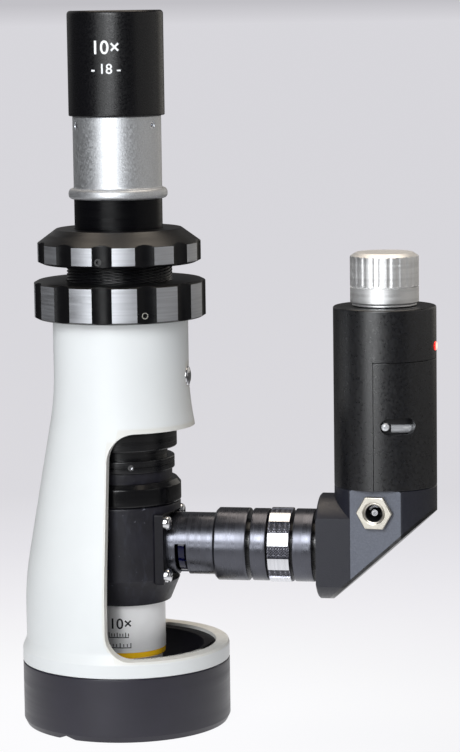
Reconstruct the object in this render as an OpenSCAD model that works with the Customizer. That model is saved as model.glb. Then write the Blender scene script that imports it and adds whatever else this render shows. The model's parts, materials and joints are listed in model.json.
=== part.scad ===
// Portable upright microscope with a clip-on battery lamp. Units are millimetres.
// The origin is on the optical axis at the bottom face of the base; +Z is up and the arm points along +X.

/* [Base and shell] */
// Radius of the base ring
base_r = 35; // [34:0.5:36]
// Height of the base ring's visible band
base_h = 21.4; // [20:0.2:23]
// Radius of the hole through the base ring
base_hole_r = 26.3; // [24:0.1:27]
// Radius of the counterbore that locates over a specimen holder
port_r = 28.5; // [28:0.1:28.8]
// Depth of that counterbore
port_depth = 4; // [3:0.5:5]
// Radius of the shell's lower cylinder
shell_low_r = 33.6; // [33:0.1:34]
// Radius of the shell's upper cylinder
shell_top_r = 22.6; // [22:0.1:23]
// Height of the shoulder that the coarse ring sits on
shell_top_z = 137.2; // [136:0.2:138]
// Wall thickness of the shell
shell_wall = 4.3; // [4:0.1:4.6]
// Height of the window's flat bottom edge
window_low_z = 27; // [26.5:0.1:28]
// Height of the window's top edge
window_top_z = 100.9; // [99:0.1:100.9]

/* [Focus] */
// Outer radius of the coarse ring
coarse_r = 28.6; // [28:0.1:29]
// Height of the coarse ring
coarse_h = 12.5; // [12.3:0.1:12.6]
// Outer radius of the fine ring
fine_r = 27.2; // [27:0.1:27.6]
// Bottom and top heights of the fine ring
fine_low_z = 155.5; // [155.4:0.1:155.8]
fine_top_z = 167; // [166.5:0.1:167.5]
// Number of grip flutes round each ring
grip_count = 12; // [8:1:14]
// Outer radius of the threaded neck between the rings
neck_r = 17.6; // [17.4:0.1:17.7]

/* [Optical tube] */
// Outer radius of the main tube in the shell's bore
main_tube_r = 18.2; // [18.1:0.01:18.24]
// Outer radius of the draw tube
draw_tube_r = 14.65; // [14.6:0.01:14.67]
// Height at which the draw tube meets the bead of the eyepiece tube
bead_z = 176.9; // [176:0.1:178]
// Height of the shoulder that the eyepiece rests on
shoulder_z = 204.3; // [203:0.1:205]
// Radius of the eyepiece's barrel
barrel_r = 11.6; // [11.55:0.01:11.62]
// Outer radius of the eyepiece's cap
cap_r = 15.93; // [15.5:0.01:16.2]
// Height of the eyepiece's top edge
cap_top_z = 238.8; // [238:0.1:240]

/* [Illuminator] */
// Outer radius of the illuminator housing
housing_r = 19.2; // [19:0.1:19.3]
// Outer radius of the objective's barrel
objective_r = 13.4; // [13:0.1:13.5]
// Height of the objective's front glass above the base
working_gap = 7; // [6.8:0.1:8]

/* [Lamp arm] */
// Height of the arm's axis
arm_z = 60.86; // [60:0.02:62]
// Distance from the optical axis to the lamp's axis
lamp_x = 88.8; // [88:0.1:90]
// Outer radius of the arm's thicker tubes
arm_r = 12.2; // [12:0.1:12.5]
// Outer radius of the elbow's horizontal block
block_r = 17.6; // [17.2:0.1:18]
// Outer radius of the lamp tube
lamp_r = 17; // [16.8:0.1:17.2]
// Height of the joint between the elbow and the lamp tube
lamp_low_z = 82; // [81.8:0.1:83]
// Height of the lamp tube's top
lamp_top_z = 141.4; // [141:0.1:143]
// Height of the battery door's top edge
door_top_z = 124.4; // [124:0.1:125]
// Angle of the elbow's sloping face
miter_angle = 41.8; // [41:0.1:43]
// Turn of the lamp about its own axis relative to the arm
lamp_clock = -7; // [-9:0.5:-5]
// Radius of the brightness knob
knob_r = 11.3; // [11:0.1:11.6]

/* [Hidden] */
$fn = 96;
// running clearance on each radius, and the gap between pieces that only pass each other
run = 0.06;
gap = 0.2;
// a cut starts and ends this far outside what it cuts
over = 1;

// base and shell
base_chamfer_h = 2;
base_chamfer_w = 1;
spigot_r = 30.4;
spigot_top_z = 26;
notch_count = 3;
notch_azimuth = -114;
notch_w = 7;
notch_h = 1.3;
magnet_count = 3;
magnet_r = 2.2;
magnet_h = 4;
magnet_circle_r = 31.4;
magnet_recess = 0.3;
band_top_z = 26;
flare_top_z = 29.5;
cone_slope = 0.1775;
cone_mid_r = 29.4;
cone_mid_z = 72.5;
cone_low_z = cone_mid_z - (shell_low_r - cone_mid_r) / cone_slope;
cone_top_z = cone_mid_z + (cone_mid_r - shell_top_r) / cone_slope;
cone_blend_r = 95;
cavity_top_z = 101;
cavity_top_r = cone_mid_r - shell_wall - cone_slope * (cavity_top_z - cone_mid_z);
bore_r = 18.3;
window_low_corner_r = 8.5;
window_top_corner_r = 9;
spindle_r = 20.6;
spindle_top_z = 146;
retainer_groove = 0.7;
guide_z = 117.5;
guide_head_r = 3.3;
guide_head_h = 1.3;
guide_shank_r = 1.5;
guide_tip_x = 16.8;

// focus travel and what it drives
coarse_up = 8;
coarse_down = 5;
fine_travel = 0.75;
keyway_w = 3.4;
keyway_bottom_r = 16.3;
keyway_spare = 1.4;
coarse_low_z = shell_top_z + 0.1;
coarse_top_z = coarse_low_z + coarse_h;
coarse_edge = 1.2;
flute_cutter_r = 7.4;
flute_depth = 1;
coarse_screw_azimuth = -61;
coarse_screw_z = 140.1;
fine_screw_azimuth = -93.3;
fine_screw_z = 157.6;
grub_r = 1.25;
neck_low_z = 129.5;
neck_top_z = 163.5;
neck_flange_top_z = 132;
fine_cone_z = 162.4;
fine_cone_top_r = 20.95;
fine_lip_z = 163.7;

// optical tube
main_tube_low_z = 93.8;
main_tube_top_z = 128;
main_tube_bore_r = 12.5;
tail_r = 15;
tail_low_z = 80;
draw_tube_low_z = 118;
draw_tube_bore_r = 12.9;
bead_r = 16.44;
bead_h = 3.5;
eyepiece_tube_r = 14.7;
plug_low_z = 165;
tube_screw_z = 201.25;
tube_screw_azimuths = [-25, -145, 95];
lock_ring_r = 17.35;
lock_low_z = 86.5;
lock_top_z = 90.7;
lock_screw_azimuth = -69.4;
neck_of_housing_r = 16.5;
housing_top_z = 75.2;
housing_low_z = 50.5;
housing_cone_z = 41.75;
housing_cone_r = 15.5;
housing_bore_r = 11;
collar_r = 19.4;
collar_top_z = 83;
collar_edge = 0.8;
splitter_cell_r = 10.94;
splitter_wall = 1.3;
splitter_low_z = 51;
splitter_top_z = 70.7;
splitter_t = 1;

// objective
objective_seat_z = 45;
objective_thread_r = 10.1;
objective_thread_top_z = 49.5;
objective_low_z = 25.4;
color_ring_low_z = 23.7;
nose_r = 12.2;
nose_shoulder_z = 16;
nose_tip_r = 6;
objective_bore_r = 7;
front_lens_r = 3.6;
front_lens_h = 3;

// arm
flange_x = 13.2;
flange_face_x = 16.2;
flange_half_w = 14.5;
flange_low_z = 49;
flange_top_z = 72.8;
flange_screw_y = 12.2;
flange_screw_dz = 8.9;
flange_head_r = 2.4;
flange_head_h = 2.4;
flange_shank_r = 1.3;
light_port_r = 8;
core_r = 8.5;
core_bore_r = 6.8;
core_start_x = 25;
filter_tube_r = 10.4;
filter_tube_end_x = 32;
filter_bore_r = 9.2;
filter_slot_x = 19.1;
filter_slot_w = 3.9;
filter_slot_top = 8;
filter_slot_low = -100;
filter_r = 9.1;
filter_t = 2;
lens_tube_x = 32;
lens_tube_end_x = 43.2;
spacer_x = 44.5;
spacer_end_x = 49.9;
spacer_r = 12.1;
aperture_x = 50.5;
aperture_end_x = 57.8;
aperture_r = 12.5;
aperture_recess_r = 11.8;
aperture_pad_count = 9;
aperture_pad_angle = 20;
aperture_pad_first = 12;
iris_hole_r = 3;
iris_t = 1.2;
iris_pin_r = 0.7;
iris_turn = 60;
iris_slot_w = 2;
end_tube_x = 58.8;
end_tube_end_x = 65.4;
arm_edge = 0.8;
lens_t = 4;

// elbow
block_x = 67;
block_flat = 13.4;
core_socket_end_x = 76;
elbow_flat = 14.7;
miter_z = 58.43;
cover_t = 1;
mirror_t = 1;
mirror_half = 8.6;
shaft_bore_r = 9;
led_pocket_r = 12;
led_pocket_z = 72;
led_board_z = 69.2;
led_board_t = 1.6;
led_dome_r = 2;
cover_screw_s = 10.5;
cover_screw_y = 9.5;
cover_screw_r = 0.9;
cover_screw_head_r = 1.7;
cover_screw_len = 4.5;
jack_z = 74.9;
jack_nut_af = 10.5;
jack_nut_t = 2.2;
jack_r = 3.5;
jack_depth = 10;
jack_hole_r = 2.8;
jack_pin_r = 1.05;

// lamp
lamp_wall = 1.8;
lamp_bore_r = lamp_r - lamp_wall;
lamp_floor_t = 2;
bulkhead_t = 1.6;
lamp_lid_t = 2.5;
lamp_edge = 0.5;
cell_r = 8.25;
cell_h = 34.5;
cell_z = 86;
cell_shift = -2;
cradle_r = 9.8;
cradle_end_t = 1.2;
contact_r = 3.2;
board_z = 126.4;
board_t = 1.4;
board_r = 14.2;
led_lens_r = 1.5;
led_lens_z = 128.4;
led_lens_out = 0.5;
led_lens_in_r = 14.4;
dimmer_r = 8;
dimmer_low_z = 129;
dimmer_top_z = 138;
dimmer_bush_r = 3.5;
dimmer_bush_top_z = 141.2;
dimmer_shaft_r = 2.5;
dimmer_shaft_low_z = 131;
knob_low_z = 141.8;
knob_top_z = 159;
knob_foot_h = 1;
knob_foot_r = 10.6;
knob_line_z = 147.9;
knob_line_w = 0.5;
knob_flute_top_z = 157.8;
knob_crown_r = 9.4;
knob_flutes = 24;
knob_flute_r = 0.75;
knob_bore_top_z = 156;
latch_z = 103.4;
latch_slot_h = 5.4;
latch_slot_from = -81.6;
latch_slot_to = -41.2;
latch_pin_at = -76.2;
latch_pin_r = 1.5;
latch_pin_out = 0.6;
latch_plate_r = 13.6;
latch_plate_t = 0.7;
latch_plate_from = -84;
latch_plate_to = -36;
latch_plate_h = 6.8;
latch_bar_from = -69;
latch_bar_to = -37;
latch_bar_h = 3.6;
latch_bar_out = 14.9;

// eyepiece
barrel_low_z = 172;
barrel_bore_r = 10.6;
barrel_top_z = 212;
cap_bore_r = 12.4;
cap_bore_top_z = 228;
cap_edge_r = 1.1;
cap_eye_r = 8.6;
cap_eye_rim_r = 12.5;
cap_eye_z = 235.4;
eye_lens_r = 9.4;
eye_lens_low_z = 229.6;
eye_lens_h = 5;
field_lens_z = 175;
field_lens_h = 4;
field_stop_z = 197;
field_stop_t = 1.5;
field_stop_r = 9;

function unit(v) = v / norm(v);

// points of an arc of radius r that rounds corner b between its neighbours a and c
function corner_arc(a, b, c, r, n) =
    let (
        u = unit(a - b),
        v = unit(c - b),
        half = acos(u * v) / 2,
        centre = b + unit(u + v) * r / sin(half),
        p = b + u * r / tan(half) - centre,
        q = b + v * r / tan(half) - centre,
        turn = atan2(p.x * q.y - p.y * q.x, p * q)
    )
    [for (i = [0:n]) centre + [
        p.x * cos(turn * i / n) - p.y * sin(turn * i / n),
        p.x * sin(turn * i / n) + p.y * cos(turn * i / n)
    ]];

// an outline from corners [x, y, rounding]; a rounding of 0 leaves the corner sharp
function rounded(corners, n = 6) =
    let (m = len(corners), xy = [for (c = corners) [c[0], c[1]]])
    [for (i = [0:m - 1]) each (
        corners[i][2] == 0
            ? [xy[i]]
            : corner_arc(xy[(i + m - 1) % m], xy[i], xy[(i + 1) % m], corners[i][2], n)
    )];

// solid of revolution about Z from corners [radius, height, rounding]
module turned(corners) {
    rotate_extrude() polygon(rounded(corners));
}

// plain tube about Z between two heights
module tube(r_out, r_in, z0, z1) {
    difference() {
        translate([0, 0, z0]) cylinder(r = r_out, h = z1 - z0);
        translate([0, 0, z0 - over]) cylinder(r = r_in, h = z1 - z0 + 2 * over);
    }
}

// cylinder about Z between two heights
module post(r, z0, z1) {
    translate([0, 0, z0]) cylinder(r = r, h = z1 - z0);
}

// turns children from the Z axis onto the arm's axis, so that heights become distances along X
module along_arm() {
    translate([0, 0, arm_z]) rotate([0, 90, 0]) children();
}

// places children in the lamp's own frame: Z on the lamp's axis, -Y out of the elbow's flat
module at_lamp() {
    translate([lamp_x, 0, 0]) rotate([0, 0, lamp_clock]) children();
}

// cylinder that points outwards at an azimuth, from one distance off the axis to another
module radial_pin(azimuth, z, r, from, to) {
    rotate([0, 0, azimuth]) translate([from, 0, z]) rotate([0, 90, 0]) cylinder(r = r, h = to - from);
}

// sector of a ring between two azimuths
module ring_sector(r_in, r_out, z0, z1, from, to) {
    translate([0, 0, z0]) rotate([0, 0, from])
        rotate_extrude(angle = to - from) translate([r_in, 0]) square([r_out - r_in, z1 - z0]);
}

// grub screw with a hexagon socket in its outer end
module grub(azimuth, z, r, from, to) {
    difference() {
        radial_pin(azimuth, z, r, from, to);
        rotate([0, 0, azimuth]) translate([to - r, 0, z]) rotate([0, 90, 0])
            cylinder(r = r * 0.55, h = r + over, $fn = 6);
    }
}

// upright concave cutters round a grip ring
module grip_flutes(r, z0, z1) {
    for (i = [0:grip_count - 1])
        rotate([0, 0, i * 360 / grip_count])
            translate([r - flute_depth + flute_cutter_r, 0, z0 - over])
                cylinder(r = flute_cutter_r, h = z1 - z0 + 2 * over);
}

// thin lens about Z: a disc with one domed face
module lens(r, z0, h, bulge) {
    dome_r = (r * r + bulge * bulge) / (2 * bulge);
    intersection() {
        post(r, z0, z0 + h);
        translate([0, 0, z0 + h - dome_r]) sphere(r = dome_r);
    }
}

// ---- stand ----

module base_ring() {
    color("#3c3b40") difference() {
        turned([
            [base_hole_r, port_depth, 0], [port_r, port_depth, 0], [port_r, 0, 0],
            [base_r - base_chamfer_w, 0, 0], [base_r, base_chamfer_h, 0], [base_r, base_h - 0.2, 0],
            [base_r - 0.3, base_h, 0], [spigot_r, base_h, 0], [spigot_r, spigot_top_z, 0.4],
            [base_hole_r, spigot_top_z, 0.4]
        ]);
        for (i = [0:notch_count - 1])
            rotate([0, 0, notch_azimuth + i * 360 / notch_count])
                translate([port_r - over, 0, 0]) rotate([90, 0, 90])
                    linear_extrude(base_r - port_r + 2 * over)
                        polygon([[-notch_w, -notch_h], [0, notch_h], [notch_w, -notch_h]]);
        magnet_seats() post(magnet_r + run, -over, magnet_h + magnet_recess);
    }
}

// repeats children at the magnets' places
module magnet_seats() {
    for (i = [0:magnet_count - 1])
        rotate([0, 0, notch_azimuth + (i + 0.5) * 360 / magnet_count])
            translate([magnet_circle_r, 0, 0]) children();
}

module base_magnets() {
    color("#9a9a9e") magnet_seats() post(magnet_r, magnet_recess, magnet_h + magnet_recess);
}

module body_shell() {
    color("#f0f2f3") difference() {
        turned([
            [spigot_r + run, base_h, 0], [base_r - 0.3, base_h, 0], [base_r, base_h + 0.3, 0],
            [base_r, band_top_z, 0.8],
            [shell_low_r, flare_top_z, 3], [shell_low_r, cone_low_z, cone_blend_r],
            [shell_top_r, cone_top_z, cone_blend_r], [shell_top_r, shell_top_z, 0],
            [spindle_r, shell_top_z, 0], [spindle_r, spindle_top_z, 0], [bore_r, spindle_top_z, 0],
            [bore_r, cavity_top_z, 0], [cavity_top_r, cavity_top_z, 0],
            [shell_low_r - shell_wall, cone_low_z, cone_blend_r],
            [shell_low_r - shell_wall, window_low_z, 0], [spigot_r + run, window_low_z, 0]
        ]);
        window();
        tube(spindle_r + over, spindle_r - retainer_groove, coarse_screw_z - 1.6, coarse_screw_z + 1.6);
        radial_pin(0, guide_z, guide_shank_r + run / 2, bore_r - over, shell_top_r + over);
        radial_pin(0, guide_z, guide_head_r + run, shell_top_r - 0.5, shell_top_r + over);
    }
}

// the open front half of the shell, with round corners where it meets the closed half
module window() {
    depth = 2 * base_r + 2 * over;
    low_r = window_low_corner_r;
    top_r = window_top_corner_r;
    translate([0, depth / 2, 0]) rotate([90, 0, 0]) linear_extrude(depth) {
        translate([top_r, window_low_z]) square([base_r, window_top_z - window_low_z]);
        translate([0, window_low_z + low_r])
            square([base_r, window_top_z - window_low_z - low_r - top_r]);
        translate([low_r, window_low_z + low_r]) circle(low_r);
        translate([top_r, window_top_z - top_r]) circle(top_r);
    }
}

module guide_screw() {
    color("#d8d9db") {
        radial_pin(0, guide_z, guide_shank_r, guide_tip_x, shell_top_r - 0.5);
        translate([shell_top_r - 0.5, 0, guide_z]) rotate([0, 90, 0]) turned([
            [0, 0, 0], [guide_head_r, 0, 0], [guide_head_r, guide_head_h * 0.6, 0.7],
            [guide_head_r * 0.55, guide_head_h, 0], [0, guide_head_h, 0]
        ]);
    }
}

// ---- coarse and fine focus ----

module coarse_ring() {
    lip_z = spindle_top_z + 0.1;
    color("#1d1c1f") difference() {
        turned([
            [spindle_r + run, coarse_low_z, 0], [coarse_r - coarse_edge, coarse_low_z, 0],
            [coarse_r, coarse_low_z + coarse_edge / 2, 0], [coarse_r, coarse_top_z - coarse_edge / 2, 0],
            [coarse_r - coarse_edge, coarse_top_z, 0], [neck_r + run, coarse_top_z, 0],
            [neck_r + run, lip_z, 0], [spindle_r + run, lip_z, 0]
        ]);
        grip_flutes(coarse_r, coarse_low_z, coarse_top_z);
        radial_pin(
            coarse_screw_azimuth, coarse_screw_z, grub_r + run / 2, spindle_r - over, coarse_r + over
        );
    }
}

module coarse_ring_screw() {
    tip_r = spindle_r - retainer_groove + gap;
    color("#b9babd") grub(coarse_screw_azimuth, coarse_screw_z, grub_r, tip_r, coarse_r - 0.9);
}

module neck_sleeve() {
    color("#26262a") difference() {
        union() {
            tube(neck_r, draw_tube_r + run, neck_low_z, neck_top_z);
            tube(bore_r - run, neck_r - over, neck_low_z, neck_flange_top_z);
        }
        tube(neck_r + over, neck_r - retainer_groove, fine_screw_z - 1.6, fine_screw_z + 1.6);
    }
}

module fine_ring() {
    color("#1d1c1f") difference() {
        turned([
            [neck_r + run, fine_low_z, 0], [fine_r - 1.8, fine_low_z, 0], [fine_r, fine_low_z + 0.8, 0],
            [fine_r, fine_cone_z, 0.3], [fine_cone_top_r, fine_top_z, 0],
            [draw_tube_r + run, fine_top_z, 0], [draw_tube_r + run, fine_lip_z, 0],
            [neck_r + run, fine_lip_z, 0]
        ]);
        grip_flutes(fine_r, fine_low_z, fine_top_z);
        radial_pin(fine_screw_azimuth, fine_screw_z, grub_r + run / 2, neck_r - over, fine_r + over);
    }
}

module fine_ring_screw() {
    color("#b9babd")
        grub(fine_screw_azimuth, fine_screw_z, grub_r, neck_r - retainer_groove + gap, fine_r - 0.9);
}

// ---- optical tube ----

module main_tube() {
    key_low_z = guide_z - coarse_up - fine_travel - guide_shank_r - keyway_spare;
    key_top_z = guide_z + coarse_down + fine_travel + guide_shank_r + keyway_spare;
    color("#1f1f23") difference() {
        union() {
            tube(main_tube_r, main_tube_bore_r, main_tube_low_z, main_tube_top_z);
            tube(tail_r, main_tube_bore_r, tail_low_z, main_tube_low_z + over);
        }
        post(draw_tube_r + run, draw_tube_low_z, main_tube_top_z + over);
        translate([keyway_bottom_r, -keyway_w / 2, key_low_z])
            cube([main_tube_r, keyway_w, key_top_z - key_low_z]);
    }
}

module draw_tube() {
    color("#161619") tube(draw_tube_r, draw_tube_bore_r, draw_tube_low_z, bead_z);
}

module eyepiece_tube() {
    color("#c9cacc") difference() {
        turned([
            [barrel_r + run, plug_low_z, 0], [draw_tube_bore_r - run, plug_low_z, 0],
            [draw_tube_bore_r - run, bead_z, 0], [bead_r, bead_z, 1.2], [bead_r, bead_z + bead_h, 1.5],
            [eyepiece_tube_r, bead_z + bead_h, 0], [eyepiece_tube_r, shoulder_z, 0.4],
            [barrel_r + run, shoulder_z, 0]
        ]);
        for (a = tube_screw_azimuths)
            radial_pin(a, tube_screw_z, grub_r + run / 2, barrel_r - over, eyepiece_tube_r + over);
    }
}

module tube_set_screws() {
    color("#a9aaad") {
        for (a = tube_screw_azimuths)
            grub(a, tube_screw_z, grub_r, barrel_r + 0.4, eyepiece_tube_r - 0.3);
        grub(lock_screw_azimuth, (lock_low_z + lock_top_z) / 2, grub_r * 0.8, tail_r, lock_ring_r - 0.2);
    }
}

module lock_ring() {
    mid_z = (lock_low_z + lock_top_z) / 2;
    color("#232327") difference() {
        tube(lock_ring_r, tail_r, lock_low_z, lock_top_z);
        radial_pin(lock_screw_azimuth, mid_z, grub_r * 0.8, tail_r - over, lock_ring_r + over);
    }
}

module collar_ring() {
    color("#212125") turned([
        [neck_of_housing_r, housing_top_z, 0], [collar_r - collar_edge, housing_top_z, 0],
        [collar_r, housing_top_z + collar_edge, 0], [collar_r, collar_top_z - collar_edge, 0],
        [collar_r - collar_edge, collar_top_z, 0], [neck_of_housing_r, collar_top_z, 0]
    ]);
}

module illuminator_housing() {
    color("#1f1f23") difference() {
        turned([
            [objective_thread_r, objective_seat_z, 0], [objective_r + 0.2, objective_seat_z, 0],
            [objective_r + 0.2, housing_cone_z, 0], [housing_cone_r, housing_cone_z, 0],
            [housing_r, housing_low_z, 0.8], [housing_r, housing_top_z, 0],
            [neck_of_housing_r, housing_top_z, 0], [neck_of_housing_r, lock_low_z, 0],
            [tail_r, lock_low_z, 0], [tail_r, tail_low_z, 0], [housing_bore_r, tail_low_z, 0],
            [housing_bore_r, objective_thread_top_z, 0], [objective_thread_r, objective_thread_top_z, 0]
        ]);
        translate([flange_x, -2 * housing_r, flange_low_z])
            cube([housing_r, 4 * housing_r, flange_top_z - flange_low_z]);
        along_arm() post(light_port_r, 0, housing_r);
        flange_screw_places() post(flange_shank_r + run / 2, flange_x - 5, flange_x + over);
    }
}

module splitter_cell() {
    color("#2b2b30") difference() {
        tube(splitter_cell_r, splitter_cell_r - splitter_wall, splitter_low_z, splitter_top_z);
        along_arm() post(light_port_r, 0, housing_r);
    }
}

module beam_splitter() {
    glass_r = splitter_cell_r - splitter_wall;
    color("#bcd6e6") intersection() {
        post(glass_r - run, splitter_low_z, splitter_top_z);
        translate([0, 0, arm_z]) rotate([0, -45, 0]) translate([-housing_r, -housing_r, -splitter_t / 2])
            cube([2 * housing_r, 2 * housing_r, splitter_t]);
        translate([-glass_r, -light_port_r, splitter_low_z])
            cube([2 * glass_r, 2 * light_port_r, splitter_top_z - splitter_low_z]);
    }
}

module objective_barrel() {
    color("#c4c5c8") turned([
        [objective_bore_r, objective_low_z, 0], [objective_r, objective_low_z, 0],
        [objective_r, objective_seat_z, 0.5], [objective_thread_r - run, objective_seat_z, 0],
        [objective_thread_r - run, objective_thread_top_z, 0], [objective_bore_r, objective_thread_top_z, 0]
    ]);
}

module objective_color_ring() {
    color("#e0b11c") tube(objective_r, objective_bore_r, color_ring_low_z, objective_low_z);
}

module objective_nose() {
    seat_z = working_gap + front_lens_h;
    color("#b7b8bb") turned([
        [front_lens_r, working_gap, 0], [nose_tip_r, working_gap, 0.5], [nose_r, nose_shoulder_z, 0.6],
        [nose_r, color_ring_low_z, 0], [objective_bore_r, color_ring_low_z, 0],
        [objective_bore_r, nose_shoulder_z, 0], [front_lens_r, seat_z, 0]
    ]);
}

module objective_lens() {
    color("#a9c6d8") lens(front_lens_r, working_gap + 0.3, front_lens_h - 0.3, 1);
}

// ---- arm ----

// repeats children, made about the arm's axis, at the four flange screws
module flange_screw_places() {
    for (y = [-1, 1], z = [-1, 1])
        translate([0, y * flange_screw_y, z * flange_screw_dz]) along_arm() children();
}

module flange_plate() {
    color("#1c1c20") difference() {
        translate([flange_x, -flange_half_w, flange_low_z])
            cube([flange_face_x - flange_x, 2 * flange_half_w, flange_top_z - flange_low_z]);
        along_arm() post(light_port_r, 0, 2 * flange_face_x);
        flange_screw_places() post(flange_shank_r + run / 2, flange_x - over, flange_face_x + over);
    }
}

module flange_screws() {
    color("#d2d3d6") flange_screw_places() difference() {
        union() {
            post(flange_shank_r, flange_x - 4.6, flange_face_x);
            translate([0, 0, flange_face_x]) turned([
                [0, 0, 0], [flange_head_r, 0, 0], [flange_head_r, flange_head_h, 1.5], [0, flange_head_h, 0]
            ]);
        }
        for (turn = [0, 90])
            rotate([0, 0, turn])
                translate([-flange_head_r * 0.6, -0.25, flange_face_x + flange_head_h * 0.55])
                    cube([flange_head_r * 1.2, 0.5, flange_head_h]);
    }
}

module filter_tube() {
    color("#1a1a1e") difference() {
        along_arm() tube(filter_tube_r, filter_bore_r, flange_face_x, core_start_x);
        // the slot opens on the side that carries the elbow's flat, and goes on under the tube
        along_arm() rotate([0, 0, -90 - filter_slot_top])
            rotate_extrude(angle = filter_slot_top - filter_slot_low)
                translate([filter_bore_r - over, filter_slot_x])
                    square([filter_tube_r - filter_bore_r + 2 * over, filter_slot_w]);
    }
    color("#1a1a1e") along_arm() tube(filter_tube_r, core_r, core_start_x, filter_tube_end_x);
}

module blue_filter() {
    mid_x = filter_slot_x + filter_slot_w / 2;
    color("#1c3a9c") along_arm() post(filter_r, mid_x - filter_t / 2, mid_x + filter_t / 2);
}

module arm_core() {
    iris_x = (aperture_x + aperture_end_x) / 2;
    color("#26262b") difference() {
        along_arm() tube(core_r, core_bore_r, core_start_x, core_socket_end_x);
        // slot for the pin that joins the aperture ring to the iris
        along_arm() translate([0, 0, iris_x - iris_slot_w / 2]) rotate([0, 0, 90 - iris_turn / 2 - 12])
            rotate_extrude(angle = iris_turn + 24)
                translate([core_bore_r - over, 0]) square([core_r - core_bore_r + 2 * over, iris_slot_w]);
    }
}

// one ring of the arm, with its outer edges broken
module arm_ring(r, r_in, x0, x1, left_edge, right_edge) {
    along_arm() turned([
        [r_in, x0, 0], [r - left_edge, x0, 0], [r, x0 + left_edge, 0],
        [r, x1 - right_edge, 0], [r - right_edge, x1, 0], [r_in, x1, 0]
    ]);
}

module lens_tube() {
    color("#1b1b1f") arm_ring(arm_r, core_r, lens_tube_x, lens_tube_end_x, arm_edge, 0.3);
}

module condenser_lens() {
    color("#b4cfdf") along_arm() lens(core_bore_r, lens_tube_x, lens_t, 1.2);
}

module spacer_ring() {
    color("#1b1b1f") arm_ring(spacer_r, core_r, spacer_x, spacer_end_x, 0.3, 0.3);
}

module aperture_ring() {
    iris_x = (aperture_x + aperture_end_x) / 2;
    step = 360 / aperture_pad_count;
    width = aperture_end_x - aperture_x;
    color("#8f9096") {
        difference() {
            arm_ring(aperture_r, core_r + run, aperture_x, aperture_end_x, 0.4, 0.4);
            along_arm() for (i = [0:aperture_pad_count - 1])
                rotate([0, 0, aperture_pad_first + i * step + aperture_pad_angle / 2])
                    translate([0, 0, aperture_x - over])
                        rotate_extrude(angle = step - aperture_pad_angle) translate([aperture_recess_r, 0])
                            square([over + aperture_r - aperture_recess_r, width + 2 * over]);
        }
        translate([iris_x, 0, arm_z]) rotate([0, 0, 90])
            rotate([0, 90, 0]) translate([0, 0, core_bore_r - 1])
                cylinder(r = iris_pin_r, h = core_r - core_bore_r + 1.2);
    }
}

module iris_leaves() {
    iris_x = (aperture_x + aperture_end_x) / 2;
    color("#34343a") difference() {
        along_arm() tube(core_bore_r - run, iris_hole_r, iris_x - iris_t / 2, iris_x + iris_t / 2);
        translate([iris_x, 0, arm_z]) rotate([0, 0, 90]) rotate([0, 90, 0])
            translate([0, 0, core_bore_r - 1]) cylinder(r = iris_pin_r, h = core_r);
    }
}

module end_tube() {
    color("#1b1b1f") arm_ring(arm_r, core_r, end_tube_x, end_tube_end_x, 0.3, 0.3);
}

module collector_lens() {
    color("#b4cfdf") along_arm() lens(core_bore_r, end_tube_x + 2, lens_t, 1.5);
}

// ---- elbow ----

// everything on the open side of the sloping face, moved inwards by shift
module beyond_miter(shift) {
    reach = 3 * block_r;
    at_lamp() translate([0, 0, miter_z]) rotate([0, -miter_angle, 0])
        translate([-reach, -reach, shift - 2 * reach]) cube([2 * reach, 2 * reach, 2 * reach]);
}

// outer form of the elbow before its sloping face is cut
module elbow_form() {
    difference() {
        along_arm() translate([0, 0, block_x]) turned([
            [0, 0, 0], [block_r - 0.5, 0, 0], [block_r, 0.5, 0], [block_r, lamp_x - block_x, 0],
            [0, lamp_x - block_x, 0]
        ]);
        for (side = [-1, 1])
            translate([block_x - over, side * (block_flat + block_r) - block_r, arm_z - 2 * block_r])
                cube([2 * block_r, 2 * block_r, 4 * block_r]);
    }
    at_lamp() difference() {
        turned([
            [0, arm_z - block_r, 0], [lamp_r, arm_z - block_r, 0], [lamp_r, lamp_low_z - 0.3, 0],
            [lamp_r - 0.3, lamp_low_z, 0], [0, lamp_low_z, 0]
        ]);
        translate([-lamp_r, -elbow_flat - lamp_r, 0]) cube([2 * lamp_r, lamp_r, lamp_low_z + over]);
    }
}

module elbow_body() {
    color("#2b2c31") difference() {
        elbow_form();
        beyond_miter(cover_t);
        along_arm() post(core_r, block_x - over, core_socket_end_x);
        along_arm() post(core_bore_r, core_socket_end_x - over, lamp_x);
        at_lamp() {
            post(shaft_bore_r, arm_z - block_r, led_pocket_z + over);
            post(led_pocket_r, led_pocket_z, lamp_low_z + over);
            radial_pin(-90, jack_z, jack_r + run / 2, 0, elbow_flat + over);
        }
        cover_screw_places() post(cover_screw_r, -over, cover_screw_len + gap);
    }
}

// repeats children at the cover's four screws, with Z pointing into the elbow
module cover_screw_places() {
    at_lamp() translate([0, 0, miter_z]) rotate([0, -miter_angle, 0])
        for (s = [-1, 1], y = [-1, 1]) translate([s * cover_screw_s, y * cover_screw_y, 0]) children();
}

module mirror_cover() {
    color("#17171a") difference() {
        intersection() {
            elbow_form();
            beyond_miter(cover_t);
        }
        beyond_miter(0);
        cover_screw_places() {
            post(cover_screw_r + run, -over, cover_t + over);
            translate([0, 0, -run])
                cylinder(r1 = cover_screw_head_r + 2 * run, r2 = cover_screw_r + run, h = cover_t);
        }
    }
}

module mirror_cover_screws() {
    color("#6b6c70") cover_screw_places() {
        post(cover_screw_r, cover_t * 0.8, cover_screw_len);
        difference() {
            cylinder(r1 = cover_screw_head_r, r2 = cover_screw_r, h = cover_t * 0.8);
            translate([0, 0, -over]) cylinder(r = cover_screw_r * 0.6, h = over + 0.4, $fn = 6);
        }
    }
}

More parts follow.
